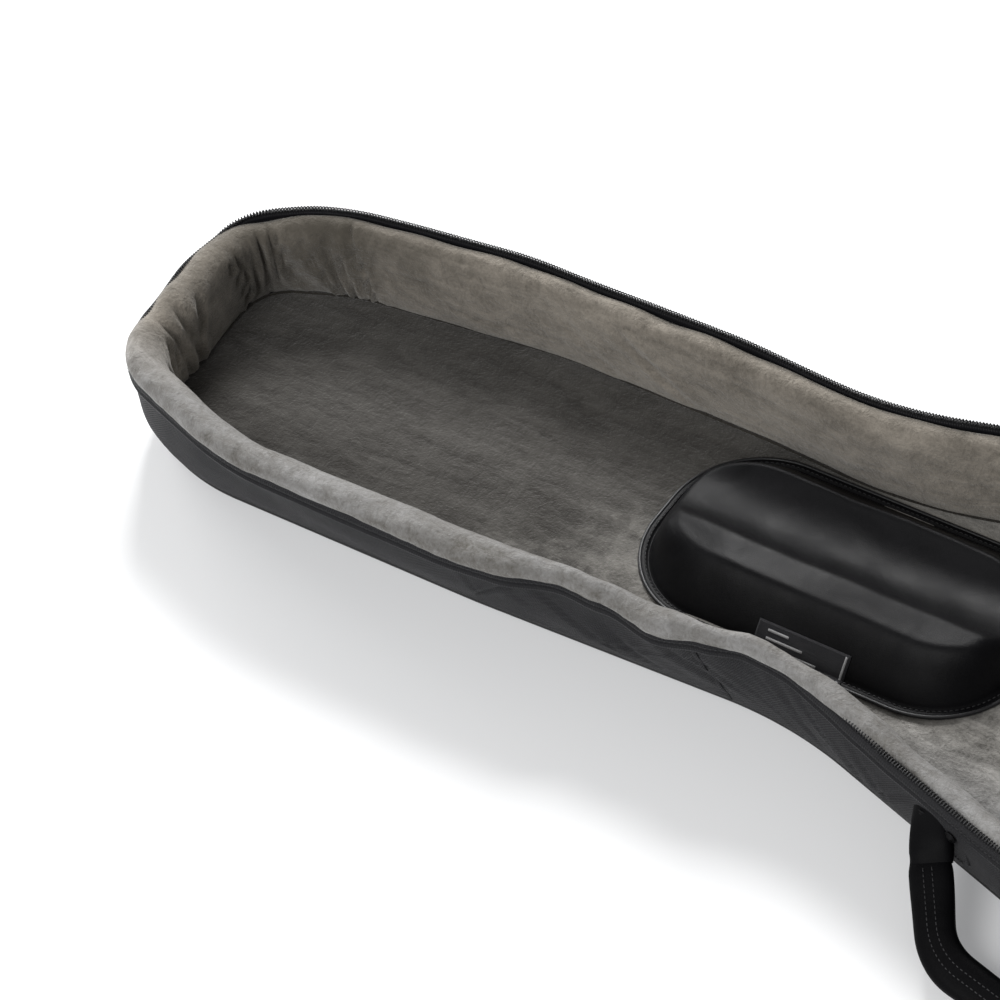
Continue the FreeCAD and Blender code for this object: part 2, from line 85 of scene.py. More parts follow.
# How the near rim waves where the zip is pulled: distance from the head end, shift outwards,
# rise, width of the plush roll on it, and how far the roll hides the zip's band.
NEAR_WAVE = [(60, 0, 0, 1.0, 0.9), (255, 0, 0, 1.05, 0.8), (300, 0, 0, 1.05, 0.9),
             (340, -1, 1, 0.95, 0.95), (380, -7, 2, 0.6, 0.9), (410, -3, 1, 0.6, 0.9),
             (450, 7, -1, 0.95, 1.0), (478, 5, 0, 0.6, 0.8), (505, -1, 2, 0.45, 1.0),
             (530, -2, 1, 0.42, 1.0), (560, 0, -2, 0.7, 0.7), (590, 1, -6, 0.8, 0.3),
             (620, 2, -9, 0.8, 0.0), (670, 2, -10, 0.9, 0.1), (710, 2, -9, 1.0, 0.3),
             (760, 1, -6, 1.0, 0.3), (850, 0, -2, 1.0, 0.0), (1200, 0, 0, 1.0, 0.0)]
# Where the head end swells outwards or is blunter than its plan: place (from the head end and
# to the far side), shift outwards, width.
HEAD_SWELLS = [((18.0, -4.0), 5.0, 30.0), ((32.0, 56.0), -4.0, 24.0)]


def unit(v):
    """The same way, with a length of 1."""
    return v / np.linalg.norm(v)


# ---------------------------------------------------------------- stations round the plan
def corner_arcs(corners):
    """Centre, radius, first angle, turn and both ends of the arc at each corner."""
    found = []
    for i, (x, y, radius) in enumerate(corners):
        here = np.array([x, y], float)
        back = unit(np.array(corners[i - 1][:2], float) - here)
        ahead = unit(np.array(corners[(i + 1) % len(corners)][:2], float) - here)
        half = math.acos(np.clip(back @ ahead, -1, 1)) / 2
        centre = here + unit(back + ahead) * radius / math.sin(half)
        start, end = (here + way * radius / math.tan(half) for way in (back, ahead))
        first = math.atan2(*(start - centre)[::-1])
        turn = (math.atan2(*(end - centre)[::-1]) - first + math.pi) % (2 * math.pi) - math.pi
        found.append((centre, radius, first, turn, start, end))
    return found


def run_counts(corners, step):
    """How many stations each arc and each straight run gets."""
    arcs = corner_arcs(corners)
    counts = []
    for i, (_, radius, _, turn, _, end) in enumerate(arcs):
        straight = np.linalg.norm(arcs[(i + 1) % len(arcs)][4] - end)
        counts.append((max(3, round(abs(turn) * radius / step)), max(1, round(straight / step))))
    return counts


def plan_points(corners, counts):
    """Points and outward normals round a plan."""
    arcs = corner_arcs(corners)
    points, normals = [], []
    for i, (centre, radius, first, turn, _, end) in enumerate(arcs):
        on_arc, on_run = counts[i]
        for k in range(on_arc):
            angle = first + turn * k / on_arc
            ray = np.array([math.cos(angle), math.sin(angle)])
            points.append(centre + ray * radius)
            normals.append(ray * math.copysign(1, turn))
        gap = arcs[(i + 1) % len(arcs)][4] - end
        out = unit(np.array([gap[1], -gap[0]]))
        for k in range(on_run):
            points.append(end + gap * k / on_run)
            normals.append(out)
    return np.array(points) - (LENGTH / 2, 0), np.array(normals)


def lengths_along(points, closed=True):
    """Distance along a line of points, and its whole length."""
    ahead = np.roll(points, -1, axis=0) if closed else points[1:]
    steps = np.linalg.norm(ahead - (points if closed else points[:-1]), axis=1)
    total = np.concatenate([[0], np.cumsum(steps)])
    return (total[:-1], total[-1]) if closed else (total, total[-1])


COUNTS = run_counts(RIM_PLAN, STATION_STEP)
BASE_P, BASE_N = plan_points(BASE_PLAN, COUNTS)
RIM_P, RIM_N = plan_points(RIM_PLAN, COUNTS)
HEAD_DISTANCE = RIM_P[:, 0] + LENGTH / 2
SIDE_FACING = 0.3       # least sideways part of the outward way that makes a station near or far
NEAR = (RIM_N[:, 1] < -SIDE_FACING) & (HEAD_DISTANCE < LENGTH - 60)
wave_at, wave_out, wave_up, wave_wide, wave_cover = (np.array(c, float) for c in zip(*NEAR_WAVE))


def ease(x):
    """Smooth step from 0 to 1."""
    x = np.clip(x, 0, 1)
    return x * x * (3 - 2 * x)


def smooth_steps(x, knots, values):
    """Smooth curve through knots."""
    k = np.clip(np.searchsorted(knots, x) - 1, 0, len(knots) - 2)
    t = ease((x - knots[k]) / (knots[k + 1] - knots[k]))
    return values[k] + (values[k + 1] - values[k]) * t


RIM_P = RIM_P + RIM_N * np.where(NEAR, smooth_steps(HEAD_DISTANCE, wave_at, wave_out), 0)[:, None]
for (swell_x, swell_y), shift, width in HEAD_SWELLS:
    off = np.linalg.norm(RIM_P - (swell_x - LENGTH / 2, swell_y), axis=1)
    RIM_P = RIM_P + RIM_N * (shift * np.exp(-(off / width) ** 2))[:, None]
RISE = np.where(NEAR, smooth_steps(HEAD_DISTANCE, wave_at, wave_up), 0)
RUN, RUN_LENGTH = lengths_along(RIM_P)
STATIONS = len(RUN)
RIM_OUT = np.column_stack([RIM_N, np.zeros(STATIONS)])
# 1 along the near side, where the plush rolls over the zip, and 0 along the far side.
ROLL = ease(0.55 - RIM_N[:, 1] * 0.75)
ROLL_WIDE = np.where(NEAR, smooth_steps(HEAD_DISTANCE, wave_at, wave_wide), 1.0)
COVER = ROLL * smooth_steps(HEAD_DISTANCE, wave_at, wave_cover)


def around(grow, z, lean=None):
    """Points round the bag at a growth and height, which may change from station to station."""
    z = np.broadcast_to(np.asarray(z, float), STATIONS)
    grow = np.broadcast_to(np.asarray(grow, float), STATIONS)[:, None]
    if lean is None:
        lean = np.clip((z - LEAN_START_Z) / (RIM_Z - LEAN_START_Z), 0, 1)
    lean = np.broadcast_to(np.asarray(lean, float), STATIONS)[:, None]
    flat = (BASE_P + BASE_N * grow) * (1 - lean) + (RIM_P + RIM_N * grow) * lean
    return np.column_stack([flat, z + RISE * lean[:, 0] ** 2])


def station_near(distance, side):
    """Index of the station at a distance from the head end, on the near (-1) or far (1) side."""
    miss = np.abs(HEAD_DISTANCE - distance) + np.where(RIM_N[:, 1] * side > SIDE_FACING, 0, FAR_OFF)
    return int(np.argmin(miss))


def apart(run, centre):
    """Signed distance along the rim from a place on it."""
    return (run - centre + RUN_LENGTH / 2) % RUN_LENGTH - RUN_LENGTH / 2


# ---------------------------------------------------------------- unevenness
def waves(seed, points, length, count=7, stretch=(1, 1, 1)):
    """Smooth seeded unevenness of about -1 to 1 over points in mm."""
    rng = random.Random(seed)
    total = 0
    for _ in range(count):
        way = unit(np.array([rng.gauss(0, 1) for _ in range(3)])) / np.array(stretch)
        rate = 2 * math.pi / (length * rng.uniform(0.65, 1.5))
        total = total + np.sin(points @ way * rate + rng.uniform(0, 2 * math.pi))
    return total / math.sqrt(count)


def bump_at(x, centre, width):
    """Smooth bump of height 1."""
    return np.exp(-((x - centre) / width) ** 2)


# ---------------------------------------------------------------- meshes
def make_mesh(name, points, faces, material):
    """Smooth piece from points in millimetres and faces, linked to the scene."""
    mesh = bpy.data.meshes.new(name)
    mesh.from_pydata((np.asarray(points) * MM).tolist(), [], [list(f) for f in faces])
    mesh.update()
    mesh.polygons.foreach_set("use_smooth", np.ones(len(mesh.polygons), bool))
    made = bpy.data.objects.new(name, mesh)
    bpy.context.scene.collection.objects.link(made)
    mesh.materials.append(material)
    return made


def grid_faces(rows, columns, ring, tube):
    """Quads over a grid of points; ring joins the last column to the first, tube the rows."""
    r = np.arange(rows if tube else rows - 1)[:, None]
    c = np.arange(columns if ring else columns - 1)[None, :]
    up, on = (r + 1) % rows, (c + 1) % columns
    quads = np.stack([r * columns + c, r * columns + on, up * columns + on, up * columns + c], -1)
    return quads.reshape(-1, 4)


def surface(name, grid, material, ring=False, tube=False, ends=False, flip=False):
    """Mesh over a grid of points (rows, columns, xyz), with the cloth's own coordinates in
    metres kept at each face's corners as the attribute lay: X along the rows, Y across."""
    grid = np.asarray(grid, float)
    rows, columns = grid.shape[:2]
    faces = grid_faces(rows, columns, ring, tube)
    middle = grid[rows // 2]
    along, long = lengths_along(middle, ring)
    along = np.append(along, long) if ring else along
    across, deep = lengths_along(grid[:, columns // 2], tube)
    across = np.append(across, deep) if tube else across
    r = np.repeat(np.arange(rows if tube else rows - 1), columns if ring else columns - 1)
    c = np.tile(np.arange(columns if ring else columns - 1), rows if tube else rows - 1)
    lay = np.zeros((len(faces), 4, 3))
    for k, (dr, dc) in enumerate(((0, 0), (0, 1), (1, 1), (1, 0))):
        lay[:, k, 0] = along[c + dc]
        lay[:, k, 1] = across[r + dr]
    if flip:
        faces, lay = faces[:, ::-1], lay[:, ::-1]
    faces = faces.tolist()
    lay = lay.reshape(-1, 3).tolist()
    if ends and tube:
        caps = [[k * columns for k in range(rows)][::-1], [k * columns + columns - 1 for k in range(rows)]]
        for cap in caps:
            faces.append(cap[::-1] if flip else cap)
            lay += [[0, 0, 0]] * rows
    made = make_mesh(name, grid.reshape(-1, 3), faces, material)
    kept = made.data.attributes.new("lay", "FLOAT_VECTOR", "CORNER")
    kept.data.foreach_set("vector", (np.array(lay) * MM).ravel())
    return made


def table_at(at, along, table):
    """Rows of a table that is known at distances along, at other distances."""
    return np.column_stack([np.interp(at, along, table[:, k]) for k in range(table.shape[1])])


def frames_along(path, closed, up=(0, 0, 1)):
    """Tangent, side and up direction at each point of a path."""
    ahead = np.roll(path, -1, 0) - np.roll(path, 1, 0)
    if not closed:
        ahead[0], ahead[-1] = path[1] - path[0], path[-1] - path[-2]
    tangent = ahead / np.linalg.norm(ahead, axis=1)[:, None]
    up = np.broadcast_to(np.asarray(up, float), path.shape)
    side = np.cross(tangent, up)
    side /= np.linalg.norm(side, axis=1)[:, None]
    return tangent, side, np.cross(side, tangent)


def sweep(name, path, section, material, closed=False, up=(0, 0, 1), ends=True):
    """Closed section, (side, up) pairs, carried along a path.  A section may have one
    outline for each point of the path."""
    path = np.asarray(path, float)
    _, side, top = frames_along(path, closed, up)
    section = np.asarray(section, float)
    if section.ndim == 2:
        section = np.broadcast_to(section, (len(path), *section.shape))
    grid = (path[None] + side[None] * section[:, :, 0].T[:, :, None]
            + top[None] * section[:, :, 1].T[:, :, None])
    return surface(name, grid, material, ring=closed, tube=True, ends=ends and not closed)


def oval(width, height, count=16, power=2.0):
    """Section from a circle (power 2) towards a box (high power)."""
    angles = np.arange(count) * 2 * math.pi / count
    c, s = np.cos(angles), np.sin(angles)
    return np.column_stack([width / 2 * np.sign(c) * np.abs(c) ** (2 / power),
                            height / 2 * np.sign(s) * np.abs(s) ** (2 / power)])


def raised(plan, z):
    """Flat points at a height, or at a height each."""
    return np.column_stack([plan, np.broadcast_to(z, len(plan))])


def subdivided(outline, parts):
    """Closed outline with each of its sides cut in equal parts."""
    shares = np.linspace(0, 1, parts, endpoint=False)[:, None]
    return np.vstack([a + (b - a) * shares for a, b in zip(outline, np.roll(outline, -1, 0))])


def thicken(piece, thickness, offset):
    """Give a sheet a thickness: outwards with an offset of 1, to both sides with 0."""
    solid = piece.modifiers.new("thick", "SOLIDIFY")
    solid.thickness, solid.offset = thickness * MM, offset


def node_box(node):
    """Lowest and highest corner of a CAD node."""
    return (np.array(corner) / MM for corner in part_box(node))


def stitches(name, path, normals, material, pitch=3.2, length=2.1, width=0.55, rise=0.35, closed=True):
    """Row of thread stitches lying along a path, each one a small rounded bar."""
    along, long = lengths_along(path, closed)
    if closed:
        path, along = np.vstack([path, path[:1]]), np.append(along, long)
        normals = np.vstack([normals, normals[:1]])
    count = int(long / pitch)
    middles = (np.arange(count) + 0.5) * long / count
    shares = np.array([-0.5, -0.3, 0.0, 0.3, 0.5])
    heights = np.array([-0.3, 0.75, 1.0, 0.75, -0.3]) * rise
    spine = [table_at(middles + share * length, along, path) for share in shares]
    lift = table_at(middles, along, normals)
    lift /= np.linalg.norm(lift, axis=1)[:, None]
    way = spine[-1] - spine[0]
    way /= np.linalg.norm(way, axis=1)[:, None]
    side = np.cross(way, lift)
    rows = []
    for spot, height in zip(spine, heights):
        for across, drop in ((-0.5, -0.5), (-0.35, 0.3), (0.35, 0.3), (0.5, -0.5)):
            rows.append(spot + side * across * width + lift * (height + drop * width * 0.6))
    grid = np.stack(rows, 1)
    points = grid.reshape(-1, 3)
    small = grid_faces(len(shares), 4, False, False)
    faces = (small[None] + (np.arange(count) * grid.shape[1])[:, None, None]).reshape(-1, 4)
    return make_mesh(name, points, faces, material)


def settle(piece, body, replaced=()):
    """What every piece needs: the body it rides on and the CAD nodes it stands for."""
    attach(piece, body)
    if replaced:
        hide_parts(*replaced)
    return piece


INNER = slice(3, -3)    # of a path whose ends stay unsewn


def sewn(name, path, ways, body, slot, *sizes, closed=False):
    """Row of thread on a piece; ways are the ways out of the cloth, one for all or one for each."""
    seam = stitches(name, path, np.broadcast_to(ways, np.shape(path)), THREAD, *sizes, closed=closed)
    settle(seam, body)


# ---------------------------------------------------------------- materials
def new_material(name, **fixed):
    """Material, its node tree and its shader, with the shader's own values set."""
    made = bpy.data.materials.new(name)
    made.use_nodes = True
    tree = made.node_tree
    shader = tree.nodes["Principled BSDF"]
    for key, value in fixed.items():
        shader.inputs[key.replace("_", " ")].default_value = value
    return made, tree, shader


def coat(tree, shader, colour, roughness, *layers):
    """Links a colour, a roughness and (height, distance in metres) layers of bump to a shader."""
    tree.links.new(colour, shader.inputs["Base Color"])
    tree.links.new(roughness, shader.inputs["Roughness"])
    normal = None
    for height, distance in layers:
        inputs = {"Height": height, "Distance": distance, "Strength": 1.0}
        if normal is not None:
            inputs["Normal"] = normal
        normal = add(tree, "Bump", inputs).outputs[0]
    tree.links.new(normal, shader.inputs["Normal"])


def add(tree, kind, inputs=None, **props):
    """Adds a node.  Inputs are numbers, colours or other nodes' outputs."""
    made = tree.nodes.new("ShaderNode" + kind)
    for key, value in props.items():
        setattr(made, key, value)
    for key, value in (inputs or {}).items():
        if isinstance(value, bpy.types.NodeSocket):
            tree.links.new(value, made.inputs[key])
        else:
            made.inputs[key].default_value = value
    return made


def place_of(tree, scale=(1, 1, 1), lay=False, turn=0.0):
    """Texture coordinates in metres: the cloth's own, or the part's."""
    if lay:
        source = add(tree, "Attribute", attribute_name="lay").outputs["Vector"]
    else:
        source = add(tree, "TexCoord").outputs["Object"]
    return add(tree, "Mapping", {"Vector": source, "Scale": scale, "Rotation": (0, 0, turn)}).outputs[0]


def noise(tree, where, scale, detail=2.0, rough=0.5, distortion=0.0):
    """Value from 0 to 1 that varies over the piece, with scale in spots per metre."""
    return add(tree, "TexNoise", {"Vector": where, "Scale": scale, "Detail": detail,
                                  "Roughness": rough, "Distortion": distortion}).outputs["Fac"]


def maths(tree, operation, a, b=0.0):
    """One operation of two values."""
    return add(tree, "Math", {0: a, 1: b}, operation=operation).outputs[0]


def spread(tree, value, low, high, to_low=0.0, to_high=1.0):
    """Value carried from one range to another."""
    return add(tree, "MapRange", {"Value": value, "From Min": low, "From Max": high,
                                  "To Min": to_low, "To Max": to_high}).outputs[0]


def blend_colours(tree, share, first, second):
    """Mix of two colours, each a value or another node's output."""
    made = add(tree, "Mix", {"Factor": share}, data_type="RGBA")
    for socket, value in ((made.inputs[6], first), (made.inputs[7], second)):
        if isinstance(value, bpy.types.NodeSocket):
            tree.links.new(value, socket)
        else:
            socket.default_value = (*value, 1)
    return made.outputs[2]


def plush(name, dark, light, shade_span, streaks=0.3, shade_left=0.12):
    """Brushed short-pile plush: mottled nap, soft streaks and loose fibres.  Painted shade darkens
    it towards the head's far corner, from the second to the first of the two places in shade_span,
    where shade_left is what is left of its lightness.  Its brown turns to grey on the near side,
    a painted sheen of the light the near rim catches."""
    made, tree, shader = new_material(name, Sheen_Weight=0.3, Sheen_Roughness=0.5,
                                      Sheen_Tint=(0.86, 0.85, 0.83, 1), Specular_IOR_Level=0.12)
    where = place_of(tree)
    patches = noise(tree, where, 12, 4, 0.65, 0.8)
    mottle = noise(tree, where, 95, 4, 0.7, 0.5)
    fibres = noise(tree, where, 480, 3, 0.75)
    brushed = noise(tree, place_of(tree, (16, 75, 75), turn=0.7), 1, 3, 0.65, 0.6)
    tone = maths(tree, "MULTIPLY", spread(tree, patches, 0.35, 0.65), 0.26)
    for layer, share in ((mottle, 0.26), (brushed, streaks), (fibres, 0.22)):
        tone = maths(tree, "ADD", tone, maths(tree, "MULTIPLY", spread(tree, layer, 0.35, 0.65), share))
    split = add(tree, "SeparateXYZ", {0: where})
    # Painted shade: the plush is darkened towards the head's far corner, where it lies in shade.
    edge = maths(tree, "ADD", split.outputs[0], maths(tree, "MULTIPLY", split.outputs[1], -0.8))
    edge = maths(tree, "ADD", edge, spread(tree, patches, 0.3, 0.7, -0.04, 0.04))
    tone = maths(tree, "MULTIPLY", tone, spread(tree, edge, *shade_span, shade_left, 1.0))
    # Painted sheen: towards the near side the light colour turns grey, standing in for the sheen the near rim
    # catches.
    near_sheen_grey = tuple(light[0] * share for share in (0.93, 0.925, 0.92))
    side = spread(tree, split.outputs[1], -0.11, -0.06, 1.0, 0.0)
    lighter = blend_colours(tree, side, light, near_sheen_grey)
    coat(tree, shader, blend_colours(tree, tone, dark, lighter), spread(tree, mottle, 0.3, 0.7, 0.98, 0.84),
         (fibres, 0.0010), (mottle, 0.0016), (brushed, 0.0010))
    return made


def weave(name, dark, light, pitch=0.0011, roughness=0.62, sheen=0.03, ribs=(1.0, 1.0)):
    """Woven nylon: over and under threads, with slubs, dust and rubbed lighter places."""
    made, tree, shader = new_material(name, Sheen_Weight=sheen, Sheen_Roughness=0.5,
                                      Sheen_Tint=(0.7, 0.7, 0.75, 1), Specular_IOR_Level=0.22)
    where = place_of(tree, lay=True)
    split = add(tree, "SeparateXYZ", {0: where})
    turns = [maths(tree, "MULTIPLY", split.outputs[k], math.pi / pitch * ribs[k]) for k in (0, 1)]
    warp = maths(tree, "ABSOLUTE", maths(tree, "SINE", turns[0]))
    weft = maths(tree, "ABSOLUTE", maths(tree, "SINE", turns[1]))
    cross = maths(tree, "MULTIPLY", maths(tree, "SINE", turns[0]), maths(tree, "SINE", turns[1]))
    over = maths(tree, "GREATER_THAN", cross, 0.0)
    threads = maths(tree, "ADD", maths(tree, "MULTIPLY", over, warp),
                    maths(tree, "MULTIPLY", maths(tree, "SUBTRACT", 1.0, over), weft))
    body = place_of(tree)
    patches = noise(tree, body, 16, 4, 0.6, 0.5)
    slubs = noise(tree, place_of(tree, (90, 900, 1), lay=True), 1, 2, 0.6)
    tone = maths(tree, "ADD", maths(tree, "MULTIPLY", threads, 0.45),
                 maths(tree, "MULTIPLY", spread(tree, patches, 0.3, 0.75), 0.35))
    tone = maths(tree, "ADD", tone, maths(tree, "MULTIPLY", spread(tree, slubs, 0.35, 0.75), 0.2))
    coat(tree, shader, blend_colours(tree, tone, dark, light),
         spread(tree, patches, 0.3, 0.7, roughness - 0.08, roughness + 0.1),
         (threads, pitch * 0.35), (slubs, 0.0002), (patches, 0.0006))
    return made


def leather(name, dark, light, grain=420, roughness=0.4, varnish=0.15, gloss=0.3):
    """Smooth coated leather: pebbled grain, faint creases and dulled patches."""
    made, tree, shader = new_material(name, Coat_Weight=varnish, Coat_Roughness=0.35,
                                      Specular_IOR_Level=gloss)
    where = place_of(tree)
    cells = add(tree, "TexVoronoi", {"Vector": where, "Scale": grain}, feature="DISTANCE_TO_EDGE")
    pebbles = spread(tree, cells.outputs["Distance"], 0.0, 0.22)
    handling = noise(tree, where, 22, 4, 0.6, 0.8)
    pores = noise(tree, where, 900, 2, 0.6)
    tone = maths(tree, "ADD", maths(tree, "MULTIPLY", pebbles, 0.3),
                 maths(tree, "MULTIPLY", spread(tree, handling, 0.3, 0.7), 0.6))
    coat(tree, shader, blend_colours(tree, tone, dark, light),
         spread(tree, handling, 0.3, 0.7, roughness - 0.05, roughness + 0.12),
         (pebbles, 0.00004), (pores, 0.00002), (handling, 0.0005))
    return made


def metal(name, colour, roughness=0.3):
    """Plated metal, brushed, with dull rubbed places."""
    made, tree, shader = new_material(name, Metallic=1.0)
    where = place_of(tree)
    rubbed = noise(tree, where, 160, 4, 0.6, 0.6)
    brushed = noise(tree, place_of(tree, (3000, 200, 3000)), 1, 2, 0.6)
    dull = tuple(c * 0.62 for c in colour)
    coat(tree, shader, blend_colours(tree, spread(tree, rubbed, 0.35, 0.65), dull, colour),
         spread(tree, rubbed, 0.3, 0.7, roughness + 0.18, roughness), (brushed, 0.00004), (rubbed, 0.00008))
    return made


def moulded(name, dark, light, roughness=0.45):
    """Moulded plastic or nylon: fine spark-eroded texture and scuffs."""
    made, tree, shader = new_material(name, Specular_IOR_Level=0.5)
    where = place_of(tree)
    texture = noise(tree, where, 2400, 2, 0.6)
    scuffs = noise(tree, where, 130, 4, 0.65, 1.0)
    coat(tree, shader, blend_colours(tree, spread(tree, scuffs, 0.35, 0.7), dark, light),
         spread(tree, scuffs, 0.3, 0.7, roughness - 0.06, roughness + 0.12),
         (texture, 0.00005), (scuffs, 0.00012))
    return made


# The last pair of places of each plush spans its painted shade at the head's far corner.
WALL_PLUSH = plush("plush_wall", (0.064, 0.057, 0.046), (0.290, 0.260, 0.221), (-0.62, -0.54))
# Painted shade: the floor's plush is a darker copy of the wall's, for the shade deep in the bag, and keeps
# 0.15 of its lightness in its shaded head corner.
FLOOR_PLUSH = plush("plush_floor", (0.016, 0.014, 0.012), (0.310, 0.298, 0.275), (-0.29, -0.18), 0.45, 0.15)
SHELL = weave("shell_nylon", (0.004, 0.004, 0.005), (0.020, 0.020, 0.022))
BAND = weave("zip_band", (0.003, 0.003, 0.004), (0.011, 0.011, 0.013), 0.0008, 0.5, 0.0, (1.0, 0.25))
TEETH = moulded("coil_nylon", (0.005, 0.005, 0.006), (0.014, 0.014, 0.016), 0.4)
LEATHER = leather("brace_leather", (0.0010, 0.0010, 0.0014), (0.0030, 0.0030, 0.0038), 1100, 0.42,
                  0.0, 0.1)
PIPING = leather("piping_vinyl", (0.003, 0.003, 0.004), (0.009, 0.009, 0.010), 700, 0.42)
THREAD = moulded("thread", (0.006, 0.006, 0.007), (0.018, 0.018, 0.02), 0.6)
LABEL = weave("label_weave", (0.010, 0.010, 0.012), (0.036, 0.036, 0.04), 0.0006, 0.6, 0.1)
LABEL_MARK = weave("label_mark", (0.25, 0.25, 0.26), (0.55, 0.55, 0.55), 0.0006, 0.6, 0.1)
WEBBING = weave("webbing", (0.004, 0.004, 0.005), (0.016, 0.016, 0.018), 0.0016, 0.6, 0.0, (1.0, 0.4))
METAL = metal("black_nickel", (0.09, 0.09, 0.095))
BLACKENED = metal("blackened_steel", (0.014, 0.014, 0.015), 0.42)
PLASTIC = moulded("black_plastic", (0.008, 0.008, 0.009), (0.022, 0.022, 0.024))
# Painted shade: very dark plush for the seams where the floor and the lid lining meet the wall, standing in
# for the shade in those creases.
SEAM_SHADE_PLUSH = plush("seam_shade_plush", (0.010, 0.009, 0.007), (0.034, 0.030, 0.025), (-9.0, -8.0), 0.2)
HANDLE_CLOTH = leather("handle_sleeve", (0.0010, 0.0010, 0.0013), (0.0032, 0.0032, 0.0038), 900, 0.45,
                       0.0, 0.05)
MESH_CLOTH = weave("pad_mesh", (0.004, 0.004, 0.005), (0.03, 0.03, 0.032), 0.003, 0.75, 0.05)


# ---------------------------------------------------------------- cloth simulation
SWELL_FRAMES = 20


def swell(piece, pressure, cap, held=None):
    """Fills a piece by cloth simulation and keeps the result.  No point moves past cap (mm), and
    the held ones stay."""
    mesh = piece.data
    before = np.zeros(len(mesh.vertices) * 3)
    mesh.vertices.foreach_get("co", before)
    cloth = piece.modifiers.new("swell", "CLOTH")
    cloth.settings.quality = 6
    cloth.settings.mass = 0.2
    cloth.settings.air_damping = 3
    cloth.settings.use_pressure = True
    cloth.settings.uniform_pressure_force = pressure
    cloth.settings.effector_weights.gravity = 0
    cloth.collision_settings.use_collision = False
    if held is not None:
        group = piece.vertex_groups.new(name="held")
        group.add([int(i) for i in np.flatnonzero(held)], 1.0, "REPLACE")
        cloth.settings.vertex_group_mass = "held"
    scene = bpy.context.scene
    for number in range(1, SWELL_FRAMES + 1):
        scene.frame_set(number)
    made = piece.evaluated_get(bpy.context.evaluated_depsgraph_get()).to_mesh()
    after = np.zeros(len(mesh.vertices) * 3)
    made.vertices.foreach_get("co", after)
    step = (after - before).reshape(-1, 3)
    far = np.linalg.norm(step, axis=1)[:, None]
    step *= np.minimum(1, cap * MM / np.maximum(far, 1e-9))
    piece.modifiers.remove(cloth)
    mesh.vertices.foreach_set("co", before + step.ravel())
    mesh.update()
    scene.frame_set(1)


# ---------------------------------------------------------------- case: side wall
# Height and growth of the padded wall's outer face, from the seam under it to the zip.
SHELL_ROWS = [(9.2, -10.5), (8.9, -8.6), (9.6, -6.8), (12, -4.4), (16, -2.4), (22, -1.0), (30, 0.2),
              (40, 1.0), (50, 1.4), (60, 1.2), (68, 0.8), (74, 0.3), (78, -0.2), (81, -0.9), (83, -2.2)]
# Places of the shell's upright seams: distance from the head end and side.
SHELL_SEAMS = [(468, -1), (452, 1), (868, -1), (868, 1), (1196, -1), (1196, 1)]


def resampled(rows, step=None, count=None):
    """Rows of a profile at even spacing along it."""
    rows = np.array(rows, float)
    along, long = lengths_along(rows, False)
    at = np.linspace(0, long, count or max(4, int(long / step)))
    return table_at(at, along, rows)


def crease(run, height, centre, width, depth, slant, low, high, middle=50.0):
    """Sharp soft-sided fold that runs up the wall, with raised cloth beside it."""
    off = apart(run, centre + slant * (height - middle)) / width
    ends = 1 / (1 + np.exp(-(height - low) / 4)) / (1 + np.exp((height - high) / 4))
    valley = 1 / (1 + (off * 1.5) ** 2) ** 1.5
    return depth * ends * (0.55 * np.exp(-((np.abs(off) - 1.6) / 0.9) ** 2) - valley)


def shell_folds():
    """Diagonal pulls in the outer fabric below the waved stretch of the zip."""
    rng = random.Random(9)
    folds = []
    for k in range(15):
        centre = RUN[station_near(330 + k * 21 + rng.uniform(-6, 6), -1)]
        folds.append((centre, rng.uniform(3.5, 6.0), rng.uniform(0.9, 1.9),
                      rng.choice((-1, 1)) * rng.uniform(0.5, 1.5), rng.uniform(16, 34), rng.uniform(56, 80)))
    return folds


def make_shell():
    """Outer fabric of the case's side wall, with its folds and its taped seams."""
    grid = []
    folds = shell_folds()
    for z, grow in resampled(SHELL_ROWS, 3.0):
        row = around(grow, z)
        soft = waves(1, row, 85, stretch=(1.8, 1.8, 1)) * 1.1 + waves(2, row, 30) * 0.35
        rumpled = bump_at(HEAD_DISTANCE, 520, 190) * NEAR
        soft = soft + rumpled * (waves(3, row, 46, stretch=(1.6, 1.6, 0.8)) * 1.3)
        for fold in folds:
            soft = soft + crease(RUN, z, *fold)
        ends = math.sin(math.pi * np.clip((z - 9) / 76, 0, 1)) ** 0.6
        pull = sum(1.6 * np.exp(-np.abs(apart(RUN, RUN[station_near(*spot)])) / 4.0) for spot in SHELL_SEAMS)
        row[:, :2] += RIM_N * (soft * ends - pull * ends)[:, None]
        grid.append(row)
    shell = surface("case_shell", grid, SHELL, ring=True)
    foams = [n for n in frame["nodes"] if n.startswith("wall_foam_")]
    settle(shell, "case", ["sidewall_cover", *foams])
    for number, (distance, side) in enumerate(SHELL_SEAMS):
        i = station_near(distance, side)
        line = np.array([row[i] for row in grid[2:]]) + RIM_OUT[i] * 0.5
        tape = sweep(f"shell_seam_{number}", line, oval(3.4, 1.0, 10), SHELL, up=RIM_OUT[i])
        settle(tape, "case")


# ---------------------------------------------------------------- case: zip band and teeth
LAP_DROP = 7.0    # of the band where the plush laps over it
BAND_ROWS = [(79.5, -1.0), (79.2, 0.8), (80.2, 2.0), (82.0, 2.4), (83.3, 1.7), (83.9, 0.9), (84.5, 1.5),
             (86.0, 2.1), (88.2, 2.1), (90.0, 1.4), (91.2, 0.4), (91.4, -0.7), (90.6, -1.7), (87.5, -2.1),
             (84.5, -2.0), (81.5, -1.8)]
COIL_GROW, COIL_RADIUS, COIL_HEIGHT, COIL_PITCH = -1.3, 1.25, 1.45, 2.1
CASE_COIL_Z, LID_COIL_Z = 92.6, 96.6


